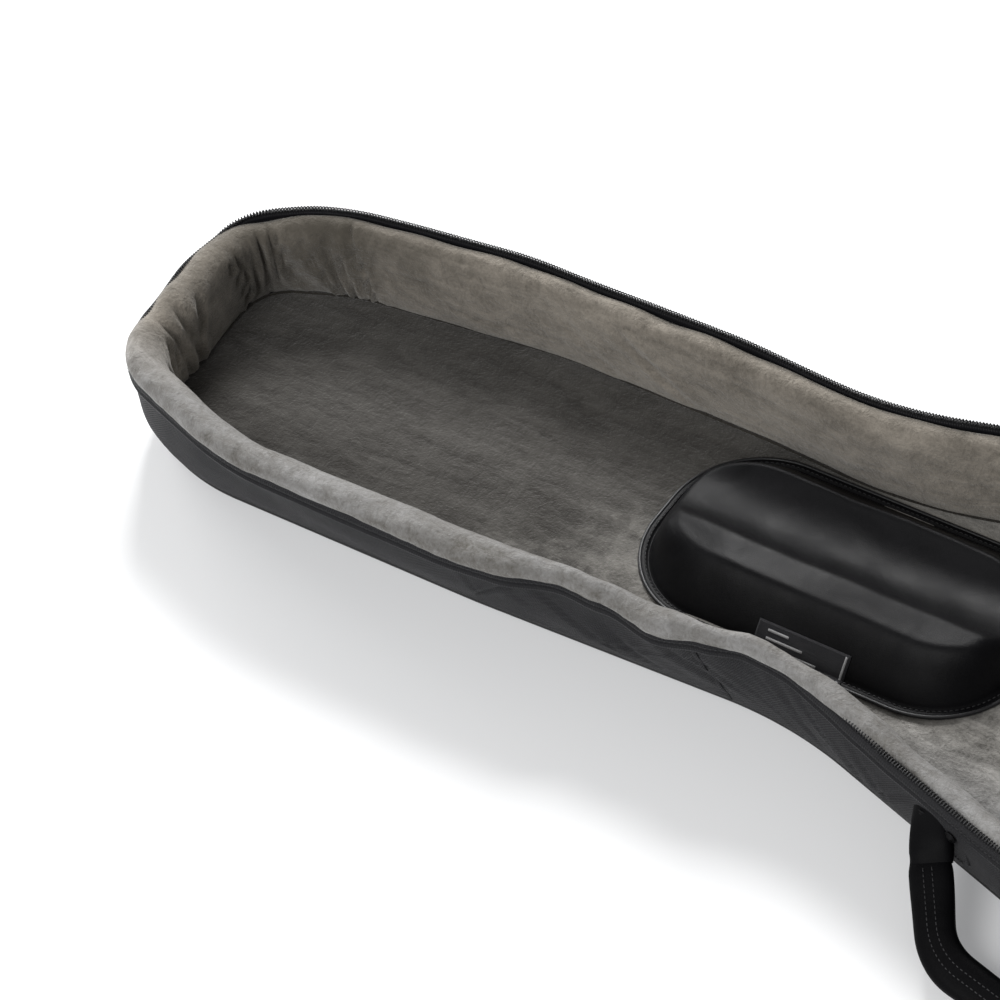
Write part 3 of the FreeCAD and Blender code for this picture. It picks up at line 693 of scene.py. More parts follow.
def tail_gap(points):
    """Stations that aren't at the tail hinge, in order round the bag from it."""
    tail = (points[:, 0] > LENGTH / 2 - 20) & (np.abs(points[:, 1] - TAIL_MIDDLE_Y) < HINGE_HALF_WIDTH)
    last = np.flatnonzero(tail)[-1]
    order = (np.arange(len(points)) + last + 1) % len(points)
    return order[~tail[order]]


def make_band():
    """Folded band that the zip is sewn in, with a groove along it."""
    grid = [around(grow, z - LAP_DROP * COVER, AT_RIM) for z, grow in BAND_ROWS]
    order = tail_gap(grid[0])
    band = surface("zip_band", [wavy(row[order]) for row in grid], BAND, tube=True, ends=True)
    settle(band, "case", ["zip_tape_case"])
    upper = wavy(around(2.2, 86.6 - LAP_DROP * COVER, AT_RIM)[order])
    sewn("zip_band_stitches", upper, RIM_OUT[order], "case", "zip_tape")


def wavy(points):
    """Points of the zip's band, with its slow rise and fall."""
    points[:, 2] += waves(11, points, 60, stretch=(1, 1, 3)) * 0.5
    return points


WIRE = oval(1.1, 1.1, 4)    # section of a zip's coil


def coil(path, out, radius, height, pitch, turn_points=7):
    """Helix of a zip's coil about a path."""
    along, long = lengths_along(path, False)
    turns = int(long / pitch)
    at = np.linspace(0, long, turns * turn_points)
    middle = table_at(at, along, path)
    side = table_at(at, along, out)
    side /= np.linalg.norm(side, axis=1)[:, None]
    angle = np.arange(len(at)) * 2 * math.pi / turn_points
    line = middle + side * (np.cos(angle) * radius)[:, None]
    line[:, 2] += np.sin(angle) * height
    return line


def make_teeth():
    """The case's coil, which sinks and moves inwards under the plush that laps over it."""
    line = around(COIL_GROW - 1.5 * COVER, CASE_COIL_Z - 0.9 * ROLL - LAP_DROP * COVER, AT_RIM)
    order = tail_gap(line)
    wire = coil(wavy(line[order]), RIM_OUT[order], COIL_RADIUS, COIL_HEIGHT, COIL_PITCH)
    teeth = sweep("zip_teeth", wire, WIRE, TEETH, up=(0.01, 0.02, 1))
    settle(teeth, "case", ["zip_teeth_case"])


# ---------------------------------------------------------------- case: plush lining
# Height and growth of the plush from the floor seam, up the inside and over the rim.
FAR_LINING = [(19.4, -13.0), (20.2, -16.2), (22, -18.2), (27, -19.4), (35, -20.2), (46, -20.4), (57, -20.0),
              (66, -19.2), (73, -18.2), (79, -16.8), (84, -14.6), (87.4, -11.6), (88.8, -8.6), (88.8, -5.8),
              (88.0, -3.6), (86.6, -2.6), (84.4, -2.3)]
NEAR_LINING = [(19.4, -13.0), (20.2, -16.2), (22, -18.2), (27, -19.8), (35, -20.8), (46, -21.4), (57, -21.8),
               (66, -22.0), (73, -22.2), (79, -22.0), (85, -21.0), (89.6, -18.6), (92.8, -15.0),
               (94.2, -11.0), (93.6, -7.2), (91.0, -4.4), (86.5, -2.8)]
# The same where the roll laps over the band and hides the zip.
LAPPED_LINING = NEAR_LINING[:10] + [(85, -20.6), (89.8, -17.6), (93.0, -12.8), (93.8, -7.4), (92.4, -2.0),
                                    (89.0, 1.6), (85.0, 3.2), (82.4, 2.6)]
LINING_STEP = 2.6
FLOOR_LEAN = 0.04    # of the wall at the floor


def lining_creases():
    """Gathers where the plush turns the head corners, and loose folds elsewhere: place along
    the rim, width, depth, slant, lowest and highest point."""
    rng = random.Random(5)
    folds = []
    corner = RUN[station_near(48, 1)]
    for k in range(12):
        folds.append((corner + (k - 5) * 10.5 + rng.uniform(-3, 3), rng.uniform(2.2, 3.4),
                      rng.uniform(3.6, 5.8), rng.uniform(-0.05, 0.3), rng.uniform(14, 26),
                      rng.uniform(76, 94)))
    head = RUN[np.argmin(np.abs(RIM_P[:, 1] + 72) + np.where(HEAD_DISTANCE < 60, 0, FAR_OFF))]
    for k in range(7):
        folds.append((head + (k - 3) * 14 + rng.uniform(-4, 4), rng.uniform(3.0, 5.0),
                      rng.uniform(2.2, 4.0), rng.uniform(-0.6, 0.2),
                      rng.uniform(12, 40), rng.uniform(60, 90)))
    for k in range(34):
        folds.append((rng.uniform(0, RUN_LENGTH), rng.uniform(4, 9), rng.uniform(0.8, 1.9),
                      rng.uniform(-0.7, 0.7), rng.uniform(14, 40), rng.uniform(60, 84)))
    return folds


def make_wall_lining():
    """Plush up the inside of the wall and rolled over the rim, narrower where ROLL_WIDE says so."""
    folds = lining_creases()
    count = int(lengths_along(np.array(NEAR_LINING), False)[1] / LINING_STEP)
    grid = []
    for far, near, lapped in zip(*(resampled(rows, count=count)
                                   for rows in (FAR_LINING, NEAR_LINING, LAPPED_LINING))):
        z, grow = (far[k] + (near[k] - far[k]) * ROLL + (lapped[k] - near[k]) * COVER for k in (0, 1))
        grow = np.where(grow < 0, grow * (1 - (1 - ROLL_WIDE) * ease((z - 40) / 42)), grow)
        z = z - (1 - ROLL_WIDE) * np.maximum(z - 84, 0) * 0.5
        row = around(grow, z)
        inside = np.clip((-grow - 4) / 8, 0, 1)
        move = -waves(21, row, 120, stretch=(1.5, 1.5, 1)) * 1.1 - waves(22, row, 34) * 0.5
        for centre, width, depth, slant, low, high in folds:
            move = move + crease(RUN, z, centre, width, depth, slant, low, high)
        row[:, :2] -= RIM_N * (inside * move)[:, None]
        lumps = waves(23, row, 40) + NEAR * 0.6 * waves(24, row, 15)
        row[:, 2] += (1 - inside * 0.7) * lumps * ease((z - 70) / 15) * 1.1
        grid.append(row)
    lining = surface("wall_plush", grid, WALL_PLUSH, ring=True, flip=True)
    settle(lining, "case", ["wall_lining"])
    # The seam's very dark plush is painted shade in the crease at the floor.
    groove = sweep("floor_seam", around(-17.6, 20.6, FLOOR_LEAN), oval(2.4, 2.0, 8), SEAM_SHADE_PLUSH, closed=True)
    settle(groove, "case")


def plan_sheet(outline_points, columns, rows, ends):
    """Grid of (x, y) over a closed outline, by columns of even share between its two sides."""
    x, y = outline_points[:, 0], outline_points[:, 1]
    low, high = x.min() + ends, x.max() - ends
    share = (1 - np.cos(np.linspace(0, math.pi, columns))) / 2
    even = np.linspace(0, 1, columns)
    at = low + (high - low) * (0.35 * share + 0.65 * even)
    start, stop = int(np.argmin(x)), int(np.argmax(x))
    ring = np.arange(len(x))
    near = np.roll(ring, -start)[: (stop - start) % len(x) + 1]
    far = np.roll(ring, -stop)[: (start - stop) % len(x) + 1][::-1]
    sides = [np.interp(at, np.maximum.accumulate(x[part]), y[part]) for part in (near, far)]
    v = np.linspace(0, 1, rows)[:, None]
    return np.broadcast_to(at, (rows, columns)), sides[0] * (1 - v) + sides[1] * v


def edge_distance(x, y, outline_points):
    """Distance of each grid point from an outline."""
    flat = np.column_stack([x.ravel(), y.ravel()])
    best = np.full(len(flat), 1e9)
    for chunk in range(0, len(flat), 4000):
        part = flat[chunk:chunk + 4000]
        best[chunk:chunk + 4000] = np.sqrt(((part[:, None] - outline_points[None]) ** 2).sum(-1).min(1))
    return best.reshape(x.shape)


def make_floor_lining():
    """Plush over the foam of the back, softly uneven and rounded down to the wall."""
    edge = around(-15.5, FLOOR_Z, FLOOR_LEAN)[:, :2]
    x, y = plan_sheet(edge, 300, 64, 0.5)
    inside = edge_distance(x, y, edge)
    z = FLOOR_Z - 1.0 + 2.2 * (1 - np.exp(-inside / 7.0))
    flat = np.stack([x, y, z], -1)
    z = z + (waves(31, flat, 130) * 0.7 + waves(32, flat, 42) * 0.3) * np.clip(inside / 12, 0, 1)
    floor = surface("floor_plush", np.stack([x, y, z], -1), FLOOR_PLUSH)
    settle(floor, "case", ["floor_lining", "back_foam"])


# ---------------------------------------------------------------- neck brace
def rounded_box_outline(half_x, half_y, radius, step=3.0):
    """Outline round the origin and its outward ways."""
    corners = [(-half_x, -half_y, radius), (half_x, -half_y, radius),
               (half_x, half_y, radius), (-half_x, half_y, radius)]
    points, normals = plan_points(corners, run_counts(corners, step))
    return points + (LENGTH / 2, 0), normals


def closing_ring(outline, out, inset, half, corner):
    """A rounded outline moved inwards; past its corners it closes on the middle line."""
    most = corner - 6
    inner = outline - out * min(inset, most)
    left = half[1] - most
    share = max(0.0, inset - most) / left
    inner[:, 1] *= 1 - share
    inner[:, 0] *= 1 - share * left * 0.6 / (half[0] - most)
    return inner


BRACE_CORNER = 62.0
TROUGH_RADIUS, TROUGH_DEPTH, TROUGH_OFFSET = 46.0, 12.0, 14.0
HEM_WIDTH, HEM_HEIGHT = 6.5, 2.2
# How far the hem's rows stand in from the brace's outline, and their height over its base.
HEM_ROWS = [(30.0, 0.2), (4.0, 0.1), (0.8, 0.2), (0.0, 0.9), (0.1, 1.8), (0.8, 2.5), (2.0, 2.8), (3.4, 2.7),
            (4.6, 2.3), (5.4, 1.2), (6.2, 1.3)]


def brace_height(x, y, inset, half, rise_top):
    """Height of the brace's top over its base: hem, crowned bevels and the trough for the neck."""
    flank = np.abs(y) / half[1]
    bevel = 22 + 30 * ease((flank - 0.35) / 0.5) * (np.abs(x) < half[0] * 0.95)
    t = np.clip((inset - HEM_WIDTH) / bevel, 0, 1)
    crown = 1 - (1 - t) ** 2.3
    height = HEM_HEIGHT + (rise_top - HEM_HEIGHT) * crown
    across = y - TROUGH_OFFSET
    dip = rise_top - TROUGH_DEPTH + TROUGH_RADIUS - np.sqrt(np.maximum(TROUGH_RADIUS ** 2 - across ** 2, 1.0))
    dip = np.where(np.abs(across) < TROUGH_RADIUS - 1, dip, 80.0)
    soft = 1.3
    return -soft * np.log(np.exp(-height / soft) + np.exp(-dip / soft))


def make_brace():
    """Leather pad with a flat stitched hem, crowned bevels and a trough for the neck."""
    low, high = node_box("brace_cover")
    centre, half = (low + high) / 2, (high - low) / 2
    base, rise = low[2], BRACE_TOP - low[2]
    outline, out = rounded_box_outline(half[0], half[1], BRACE_CORNER)
    grid = []
    for inset, z in [(half[1], 0.2)] + HEM_ROWS:
        grid.append(raised(closing_ring(outline, out, inset, half, BRACE_CORNER), base + z))
    held = len(grid) + 1
    for inset in np.concatenate([np.linspace(7.2, 62, 36), np.linspace(63.5, half[1], 8)]):
        ring_points = closing_ring(outline, out, inset, half, BRACE_CORNER)
        grid.append(raised(ring_points, base + brace_height(*ring_points.T, inset, half, rise)))
    skin = np.array(grid)
    skin[:, :, :2] += centre[:2]
    soft = np.clip((skin[:, :, 2] - base - 4) / 12, 0, 1)
    skin[:, :, 2] += soft * (waves(41, skin, 75) * 0.7 + waves(42, skin, 24) * 0.18)
    pad = surface("brace_pad", skin, LEATHER, ring=True)
    swell(pad, 3.0, 2.0, held=np.repeat(np.arange(len(grid)) < held, len(outline)))
    settle(pad, "case", ["brace_core", "brace_cover"])
    line = raised(outline - out * 4.0 + centre[:2], base + 2.75)
    sewn("brace_stitches", line, (0.0, 0.0, 1.0), "case", "brace_leather", 3.4, 2.2, 0.6, 0.4, closed=True)
    welt = raised(outline - out * 0.4 + centre[:2], base + 2.0)
    settle(sweep("brace_welt", welt, oval(2.6, 2.6, 10), PIPING, closed=True), "case")
    return pad


CAST_REACH = 0.08    # metres


def drop_on(target, points, direction, lift):
    """Points carried along a direction onto a piece, and lifted off it."""
    bpy.context.view_layer.update()
    tree = BVHTree.FromObject(target, bpy.context.evaluated_depsgraph_get())
    way = Vector(direction).normalized()
    found = []
    for point in np.asarray(points).reshape(-1, 3):
        start = Vector(point * MM) - way * CAST_REACH
        hit = tree.ray_cast(start, way)[0]
        if hit is None:
            hit = Vector(point * MM)
        found.append(np.array(hit - way * lift * MM) / MM)
    return np.array(found).reshape(np.asarray(points).shape)


def make_brace_label(pad):
    """Blank woven label sewn on the brace's near flank, with plain bars and a light edge."""
    low, high = node_box("brace_label")
    lean = math.radians(40)
    long, tall, down = 63.0, 20.0, 6.0
    middle = (low + high) / 2 - (14.0, down * math.cos(lean), down * math.sin(lean))
    u = np.linspace(-long / 2, long / 2, 50)
    v = np.linspace(-tall / 2, tall / 2, 16)
    across = np.array([0, math.cos(lean), math.sin(lean)])
    inward = (0, math.sin(lean), -math.cos(lean))

    def patch(name, u, v, lift, material, thick):
        flat = middle + u[None, :, None] * np.array([1.0, 0, 0]) + v[:, None, None] * across
        top = drop_on(pad, flat, inward, lift)
        piece = surface(name, top, material)
        thicken(piece, thick, 1.0)
        settle(piece, "case")
        return top

    top = patch("brace_label_patch", u, v, 0.5, LABEL, 0.5)
    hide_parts("brace_label")
    patch("brace_label_edge", np.linspace(long / 2 - 3.2, long / 2 - 1.8, 3), v[1:-1], 1.0, LABEL_MARK, 0.2)
    for k in range(3):
        patch(f"brace_label_bar_{k}", np.linspace(-24, -10 + 11 * k, 18), np.array([4.4, 6.0]) - 5.0 * k, 1.0,
              LABEL_MARK, 0.2)
    frame_line = np.vstack([top[1, 1:-1], top[1:-1, -2], top[-2, 1:-1][::-1], top[1:-1, 1][::-1]])
    outward = -np.array(inward)
    sewn("brace_label_stitches", frame_line + outward * 0.55, outward, "case", "label", 2.2, 1.4, 0.4, 0.2,
         closed=True)


# ---------------------------------------------------------------- tail cushion
NOTCH_DEPTH, NOTCH_HALF_WIDTH = 13.0, 15.0    # for the strap button
CHANNEL_Y = 52.0


def make_tail_cushion():
    """Crowned pad at the tail with a groove for the strap button and two sewn channels."""
    low, high = node_box("tail_cushion")
    back = high[0] - 1.0
    y = np.linspace(low[1] + 2, high[1] - 2, 150)
    share = np.linspace(-1, 1, len(y))
    channels = sum(np.exp(-np.abs((y - at) / 2.2) ** 1.4) for at in (-CHANNEL_Y, CHANNEL_Y))
    notch = NOTCH_DEPTH * np.exp(-(y / NOTCH_HALF_WIDTH) ** 4)
    from_end = np.minimum(y - y[0], y[-1] - y)
    ends = np.sqrt(1 - (1 - np.clip((from_end + 0.4) / 13, 0.03, 1)) ** 2)
    deep = ((high[0] - low[0] - 2) * (1 - 0.25 * share ** 4) - notch - 2.2 * channels) * ends
    tall = ((high[2] - low[2] - 1) * (1 - 0.2 * share ** 4) - 1.6 * channels) * (0.35 + 0.65 * ends)
    shape = oval(1.0, 1.0, 44, 3.0)
    grid = np.stack([back - deep / 2 + shape[:, :1] * deep, np.broadcast_to(y, (len(shape), len(y))),
                     low[2] + 0.3 + tall / 2 + shape[:, 1:] * tall], -1)
    grid += (waves(51, grid, 40) * 0.5)[..., None] * np.array([1, 0, 0.6])
    cushion = surface("tail_pad", grid, WALL_PLUSH, tube=True, ends=True)
    settle(cushion, "case", ["tail_cushion"])


# ---------------------------------------------------------------- side handle
HANDLE_REACH, HANDLE_SPLAY, HANDLE_DROOP = 48.0, 0.9, 24.0
HANDLE_WIDTH = 27.0
HANDLE_BEND = 42.0    # radius of its corners
HANDLE_AXIS_Z, ANCHOR_LEAN = 38.0, 8.0
HANDLE_ENDS = (651.0, 853.0)
SLEEVE_START = 1.5    # along the handle's path
GRIP_HEIGHT = 10.4


def rounded_line(points, radii, step=2.5):
    """Open line through points with an arc at each inner one."""
    points = np.array(points, float)
    made = [points[0]]
    for before, here, after, radius in zip(points, points[1:], points[2:], radii):
        back, ahead = unit(before - here), unit(after - here)
        half = math.acos(np.clip(back @ ahead, -1, 1)) / 2
        reach = radius / math.tan(half)
        centre = here + unit(back + ahead) * radius / math.sin(half)
        start, end = here + back * reach - centre, here + ahead * reach - centre
        turn = math.acos(np.clip(unit(start) @ unit(end), -1, 1))
        for t in np.linspace(0, 1, max(3, int(turn * radius / step))):
            spoke = start * math.sin((1 - t) * turn) + end * math.sin(t * turn)
            made.append(centre + spoke / math.sin(turn))
    made.append(points[-1])
    made = np.array(made)
    along, long = lengths_along(made, False)
    at = np.linspace(0, long, int(long / step))
    return table_at(at, along, made)


def handle_axes():
    """Middle of the handle's fold line, the way along it, the way out and the handle's upper face."""
    hinge = next(joint for joint in frame["joints"] if joint["name"] == "handle_lift")
    middle = np.array(hinge["pos_m"]) / MM
    along = -np.array(hinge["axis"], float)
    level = np.array([along[1], -along[0], 0.0])
    droop = math.radians(HANDLE_DROOP)
    out = level * math.cos(droop) - np.array([0, 0, math.sin(droop)])
    return middle, along, out, np.cross(out, along)


def make_handle():
    """Webbing loop in a padded, pinched and twice-sewn sleeve, and its two roots."""
    middle, along, out, face = handle_axes()
    face = face if face[2] > 0 else -face
    foot = (HANDLE_ENDS[1] - HANDLE_ENDS[0]) / 2 / along[0]
    knee = foot - HANDLE_REACH * HANDLE_SPLAY
    line = rounded_line([(-foot, 3), (-knee, HANDLE_REACH), (knee, HANDLE_REACH), (foot, 3)],
                        [HANDLE_BEND] * 2)
    path = middle + line[:, :1] * along + line[:, 1:] * out
    run, long = lengths_along(path, False)
    strap = sweep("handle_strap", path, oval(HANDLE_WIDTH - 4.5, 2.6, 14, 5), WEBBING, up=face)
    settle(strap, "side_handle", ["handle_webbing"])
    part = (run > SLEEVE_START) & (run < long - SLEEVE_START)
    sleeve_path = path[part]
    at = run[part] - run[part][0]
    size = at[-1]
    fat = 0.78 + 0.22 * ease(np.minimum(at, size - at) / 10.0)
    section = []
    for t, x in zip(fat, at):
        shape = oval(HANDLE_WIDTH * (0.54 + 0.4 * t), GRIP_HEIGHT * t, 26, 2.7)
        pinch = np.exp(-(shape[:, 0] / 1.8) ** 2) * (shape[:, 1] > 0) * 1.3 * t
        shape = shape * (1 + 0.02 * math.sin(x / 9.0)) - np.column_stack([np.zeros(len(shape)), pinch])
        section.append(shape)
    sleeve = sweep("handle_sleeve", sleeve_path, np.array(section), HANDLE_CLOTH, up=face)
    swell(sleeve, 2.5, 0.5)
    settle(sleeve, "side_handle", ["handle_grip"])
    _, side, top = frames_along(sleeve_path, False, face)
    for name, offset in (("a", -2.6), ("b", 2.6)):
        seam = sleeve_path + side * offset + top * 5.3
        sewn(f"handle_seam_{name}", seam[INNER], top[INNER], "side_handle", "brace_leather",
             3.2, 2.2, 0.6, 0.4)
    for node, distance, end in zip(("handle_anchor_front", "handle_anchor_rear"), HANDLE_ENDS, (-foot, foot)):
        leg = unit(out - along * HANDLE_SPLAY * math.copysign(1, end))
        make_anchor(node, distance, middle + end * along, leg, face)


def anchor_ways(distance):
    """Point on the near wall at the handle's height, and the ways along it, up it and out of it."""
    at = np.array([distance - LENGTH / 2, 0.0])
    lean = (HANDLE_AXIS_Z - LEAN_START_Z) / (RIM_Z - LEAN_START_Z)
    corners = [np.array(low[:2]) + (np.array(high[:2]) - np.array(low[:2])) * lean
               for low, high in zip(BASE_PLAN, RIM_PLAN)]
    before, after = next((a, b) for a, b in zip(corners, corners[1:]) if distance <= b[0])
    along = unit(np.array([*(after - before), 0.0]))
    y = before[1] + (distance - before[0]) * along[1] / along[0]
    level = np.array([along[1], -along[0], 0.0])
    tilt = math.radians(ANCHOR_LEAN)
    out = level * math.cos(tilt) - np.array([0, 0, math.sin(tilt)])
    return np.array([at[0], y, HANDLE_AXIS_Z]), along, np.cross(out, along), out


def make_anchor(node, distance, fold, leg, face):
    """Padded root of the handle: a sewn tongue from under the zip's band down to the fold line,
    where it meets the leg, on a flat patch with a stitched border."""
    middle, along, up, out = anchor_ways(distance)
    half = np.array([20.5, 15.0])
    outline, _ = rounded_box_outline(*half, 6.0, 1.5)

    def patch_ring(inset, lift):
        flat = outline * ((half - inset) / half)
        return middle + 4.0 * up + flat[:, :1] * along + flat[:, 1:] * up + out * lift

    rows = [patch_ring(*pair) for pair in ((0.6, -0.6), (0.0, -0.1), (0.0, 0.8), (0.5, 1.4), (1.6, 1.6),
                                           (3.0, 1.2), (5, 1.4), (14.9, 1.4))]
    patch = surface(node + "_patch", rows, SHELL, ring=True)
    settle(patch, "case", [node])
    sewn(node + "_stitches", patch_ring(2.8, 1.4), out, "case", "brace_leather", 3.0, 2.0, 0.6, 0.4,
         closed=True)
    knots = np.array([fold - leg * 24.0 + 26.0 * up - 7.0 * out, fold - leg * 13.0 + 14.0 * up - 3.0 * out,
                      fold - leg * 5.0 + 4.0 * up, fold + leg * 12.0])
    run, long = lengths_along(knots, False)
    at = np.linspace(0, long, 40)
    path = np.column_stack([smooth_line(at, run, knots[:, k]) for k in range(3)])
    turn = ease(at / long)[:, None]
    swelling = np.interp(at / long, [0, 0.15, 0.5, 0.82, 1.0], [0.45, 0.8, 0.97, 1.0, 0.72])
    section = [oval(HANDLE_WIDTH * (0.62 + 0.35 * w), 11.2 * w, 26, 2.8) for w in swelling]
    root = sweep(node + "_root", path, np.array(section), HANDLE_CLOTH, up=out * (1 - turn) + face * turn)
    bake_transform(root)


def smooth_line(at, knots, values):
    """Curve through knots without corners, by averaging the straight one over a short stretch."""
    shifts = np.linspace(-1, 1, 9) * (knots[-1] / (len(knots) - 1)) * 0.45
    return np.mean([np.interp(np.clip(at + shift, 0, knots[-1]), knots, values) for shift in shifts], axis=0)


# ---------------------------------------------------------------- the back
QUILT_SEAMS = 14
BACK_SECTION = [(0.6, -15.5), (2.0, -11.6), (4.6, -8.4), (7.2, -7.0), (8.3, -8.2), (8.0, -22), (7.6, -40),
                (7.0, -46.6), (4.6, -48.0), (2.0, -47.2), (0.5, -44.2), (0.15, -38), (0.1, -30), (0.15, -22)]


def make_base():
    """Quilted ring the bag lies on, the back's stretched panel, its middle pad and its piping."""
    grid = [around(grow, z, AT_BASE) for z, grow in BACK_SECTION]
    seams = sum(np.exp(-np.abs(apart(RUN, k * RUN_LENGTH / QUILT_SEAMS)) / 5) for k in range(QUILT_SEAMS))
    for row, (z, _) in zip(grid, BACK_SECTION):
        row[:, 2] += (z < 4) * seams * 1.6
        row[:, 2] = np.maximum(row[:, 2] + (z < 4) * waves(61, row, 60) * 0.25, 0.05)
    ring = surface("back_ring_pad", grid, MESH_CLOTH, ring=True, tube=True, flip=True)
    settle(ring, "case", ["base_pad_ring"])
    edge = around(-9.0, 9.0, AT_BASE)[:, :2]
    x, y = plan_sheet(edge, 200, 46, 0.5)
    flat = np.stack([x, y, np.full(x.shape, 9.1)], -1)
    flat[:, :, 2] += waves(62, flat, 80) * 0.35
    cover = surface("back_panel", flat, SHELL, flip=True)
    settle(cover, "case", ["back_cover"])
    low, high = node_box("back_spine_pad")
    path = np.column_stack([np.linspace(low[0], high[0], 160), np.zeros(160), np.full(160, 4.1)])
    at = path[:, 0] - low[0]
    dents = 1 - 0.35 * sum(np.exp(-((at - k * 90) / 5) ** 2) for k in range(1, 7))
    ends = np.clip(np.minimum(at, at[-1] - at) / 8, 0.05, 1) ** 0.5
    section = [oval(21.6 * e, 8.0 * e * d, 22, 3.2) for e, d in zip(ends, dents)]
    spine = sweep("spine_pad", path, np.array(section), MESH_CLOTH)
    settle(spine, "case", ["back_spine_pad"])
    piping = sweep("back_piping", around(-6.6, 9.4, AT_BASE), oval(3.2, 3.2, 10), PIPING, closed=True)
    settle(piping, "case", ["base_piping"])


# ---------------------------------------------------------------- lid, shaped closed then folded open
def opened(points):
    """Points of the closed lid, turned open about the tail hinge."""
    points = np.array(points, float)
    turn = math.radians(OPEN_ANGLE)
    x, z = points[..., 0] - HINGE_X, points[..., 2] - HINGE_Z
    points[..., 0] = HINGE_X + x * math.cos(turn) + z * math.sin(turn)
    points[..., 2] = HINGE_Z - x * math.sin(turn) + z * math.cos(turn)
    return points


def opened_way(ways):
    """Directions on the closed lid, turned the same way."""
    return opened(np.asarray(ways) + (HINGE_X, 0, HINGE_Z)) - (HINGE_X, 0, HINGE_Z)


# Height and growth of the lid's outer side, its lining's rolled edge and its zip band, in the closed lid.
LID_SIDE = [(103.2, -2.4), (103.0, -0.9), (104.0, 0.1), (106.5, 0.3), (109, -0.7), (111.2, -2.8),
            (112.8, -5.8), (113.8, -9.6), (114.3, -14.0)]
LID_ROLL = [(103.4, -2.8), (102.0, -2.9), (100.9, -4.0), (100.5, -5.8), (101.0, -8.0), (102.2, -10.0)]
LID_BAND = [(98.0, -1.0), (98.0, 0.5), (98.8, 1.6), (100.4, 2.0), (101.8, 1.2), (103.2, 0.6), (103.3, -0.6),
            (101.8, -1.2), (100.0, -1.6)]


def lid_panel(name, grow, height, material, puff, seed, flip):
    """Large soft face of the lid, rounded down to its edge."""
    edge = around(grow, height, AT_RIM)[:, :2]
    x, y = plan_sheet(edge, 260, 60, 0.4)
    inside = edge_distance(x, y, edge)
    z = height + puff * (1 - np.exp(-inside / 14.0))
    flat = np.stack([x, y, z], -1)
    uneven = waves(seed, flat, 150) * 0.5 + waves(seed + 1, flat, 45) * 0.22
    flat[:, :, 2] += uneven * np.clip(inside / 14, 0, 1)
    return surface(name, opened(flat), material, flip=flip)


def make_lid():
    """Side, outer face, plush edge, lining and piping of the lid."""
    rows = [around(grow, z, AT_RIM) for z, grow in resampled(LID_SIDE, 1.6)]
    for row in rows[2:-1]:
        row[:, :2] += RIM_N * (waves(71, row, 60) * 0.5)[:, None]
    side = surface("lid_side", opened(rows), SHELL, ring=True)
    settle(side, "lid", ["lid_cover", "lid_foam"])
    panel = lid_panel("lid_panel", -13.8, 114.25, SHELL, 0.35, 72, False)
    settle(panel, "lid")
    rows = [around(grow, z, AT_RIM) for z, grow in resampled(LID_ROLL, 1.2)]
    roll = surface("lid_plush_edge", opened(rows), WALL_PLUSH, ring=True, flip=True)
    settle(roll, "lid")
    lining = lid_panel("lid_plush", -9.6, 102.0, FLOOR_PLUSH, 0.5, 74, True)
    settle(lining, "lid", ["lid_lining"])
    seam = opened(around(-9.9, 101.8, AT_RIM))
    settle(sweep("lid_plush_seam", seam, oval(1.8, 1.4, 8), SEAM_SHADE_PLUSH, closed=True), "lid")
    tail = (np.abs(RIM_P[:, 1] - TAIL_MIDDLE_Y) < 140) & (RIM_P[:, 0] > LENGTH / 2 - 20)
    order = (np.arange(STATIONS) + np.flatnonzero(tail)[-1] + 1) % STATIONS
    line = around(1.0, 105.7, AT_RIM)[order[~tail[order]]]
    piping = sweep("lid_piping_cord", opened(line), oval(3.0, 3.0, 12), PIPING)
    settle(piping, "lid", ["lid_piping"])


def make_lid_zip():
    """Upper half of the main zip: its band, the band's seam and its coil."""
    grid = [around(grow, z, AT_RIM) for z, grow in LID_BAND]
    order = tail_gap(grid[0])
    tape = surface("zip_band_lid", opened([row[order] for row in grid]), BAND, tube=True, ends=True)
    settle(tape, "lid", ["zip_tape_lid"])
    out = RIM_OUT[order]
    line = around(2.1, 100.3, AT_RIM)[order]
    sewn("zip_band_lid_stitches", opened(line), opened_way(out), "lid", "zip_tape")
    line = around(COIL_GROW, LID_COIL_Z, AT_RIM)[order]
    wire = coil(line, out, COIL_RADIUS, COIL_HEIGHT, COIL_PITCH)
    teeth = sweep("zip_teeth_lid_coil", opened(wire), WIRE, TEETH, up=(0.01, 0.02, 1))
    settle(teeth, "lid", ["zip_teeth_lid"])


# ---------------------------------------------------------------- lid pockets
# Head and tail ends (from the head end), half widths there, height, corner radius.
POCKETS = {"large": ((800.0, 1130.0), (140.0, 150.0), 24.0, 40.0),
           "small": ((430.0, 640.0), (60.0, 66.0), 9.0, 20.0)}
POCKET_BASE_Z = 115.3
POCKET_ZIP_INSET = 24.0
POCKET_TAPE = [(-12, -0.5), (-12, 0.3), (-11, 0.6), (-4.2, 0.6), (-3.2, 0.25), (3.2, 0.25), (4.2, 0.6),
               (11, 0.6), (12, 0.3), (12, -0.5), (0, -0.6)]


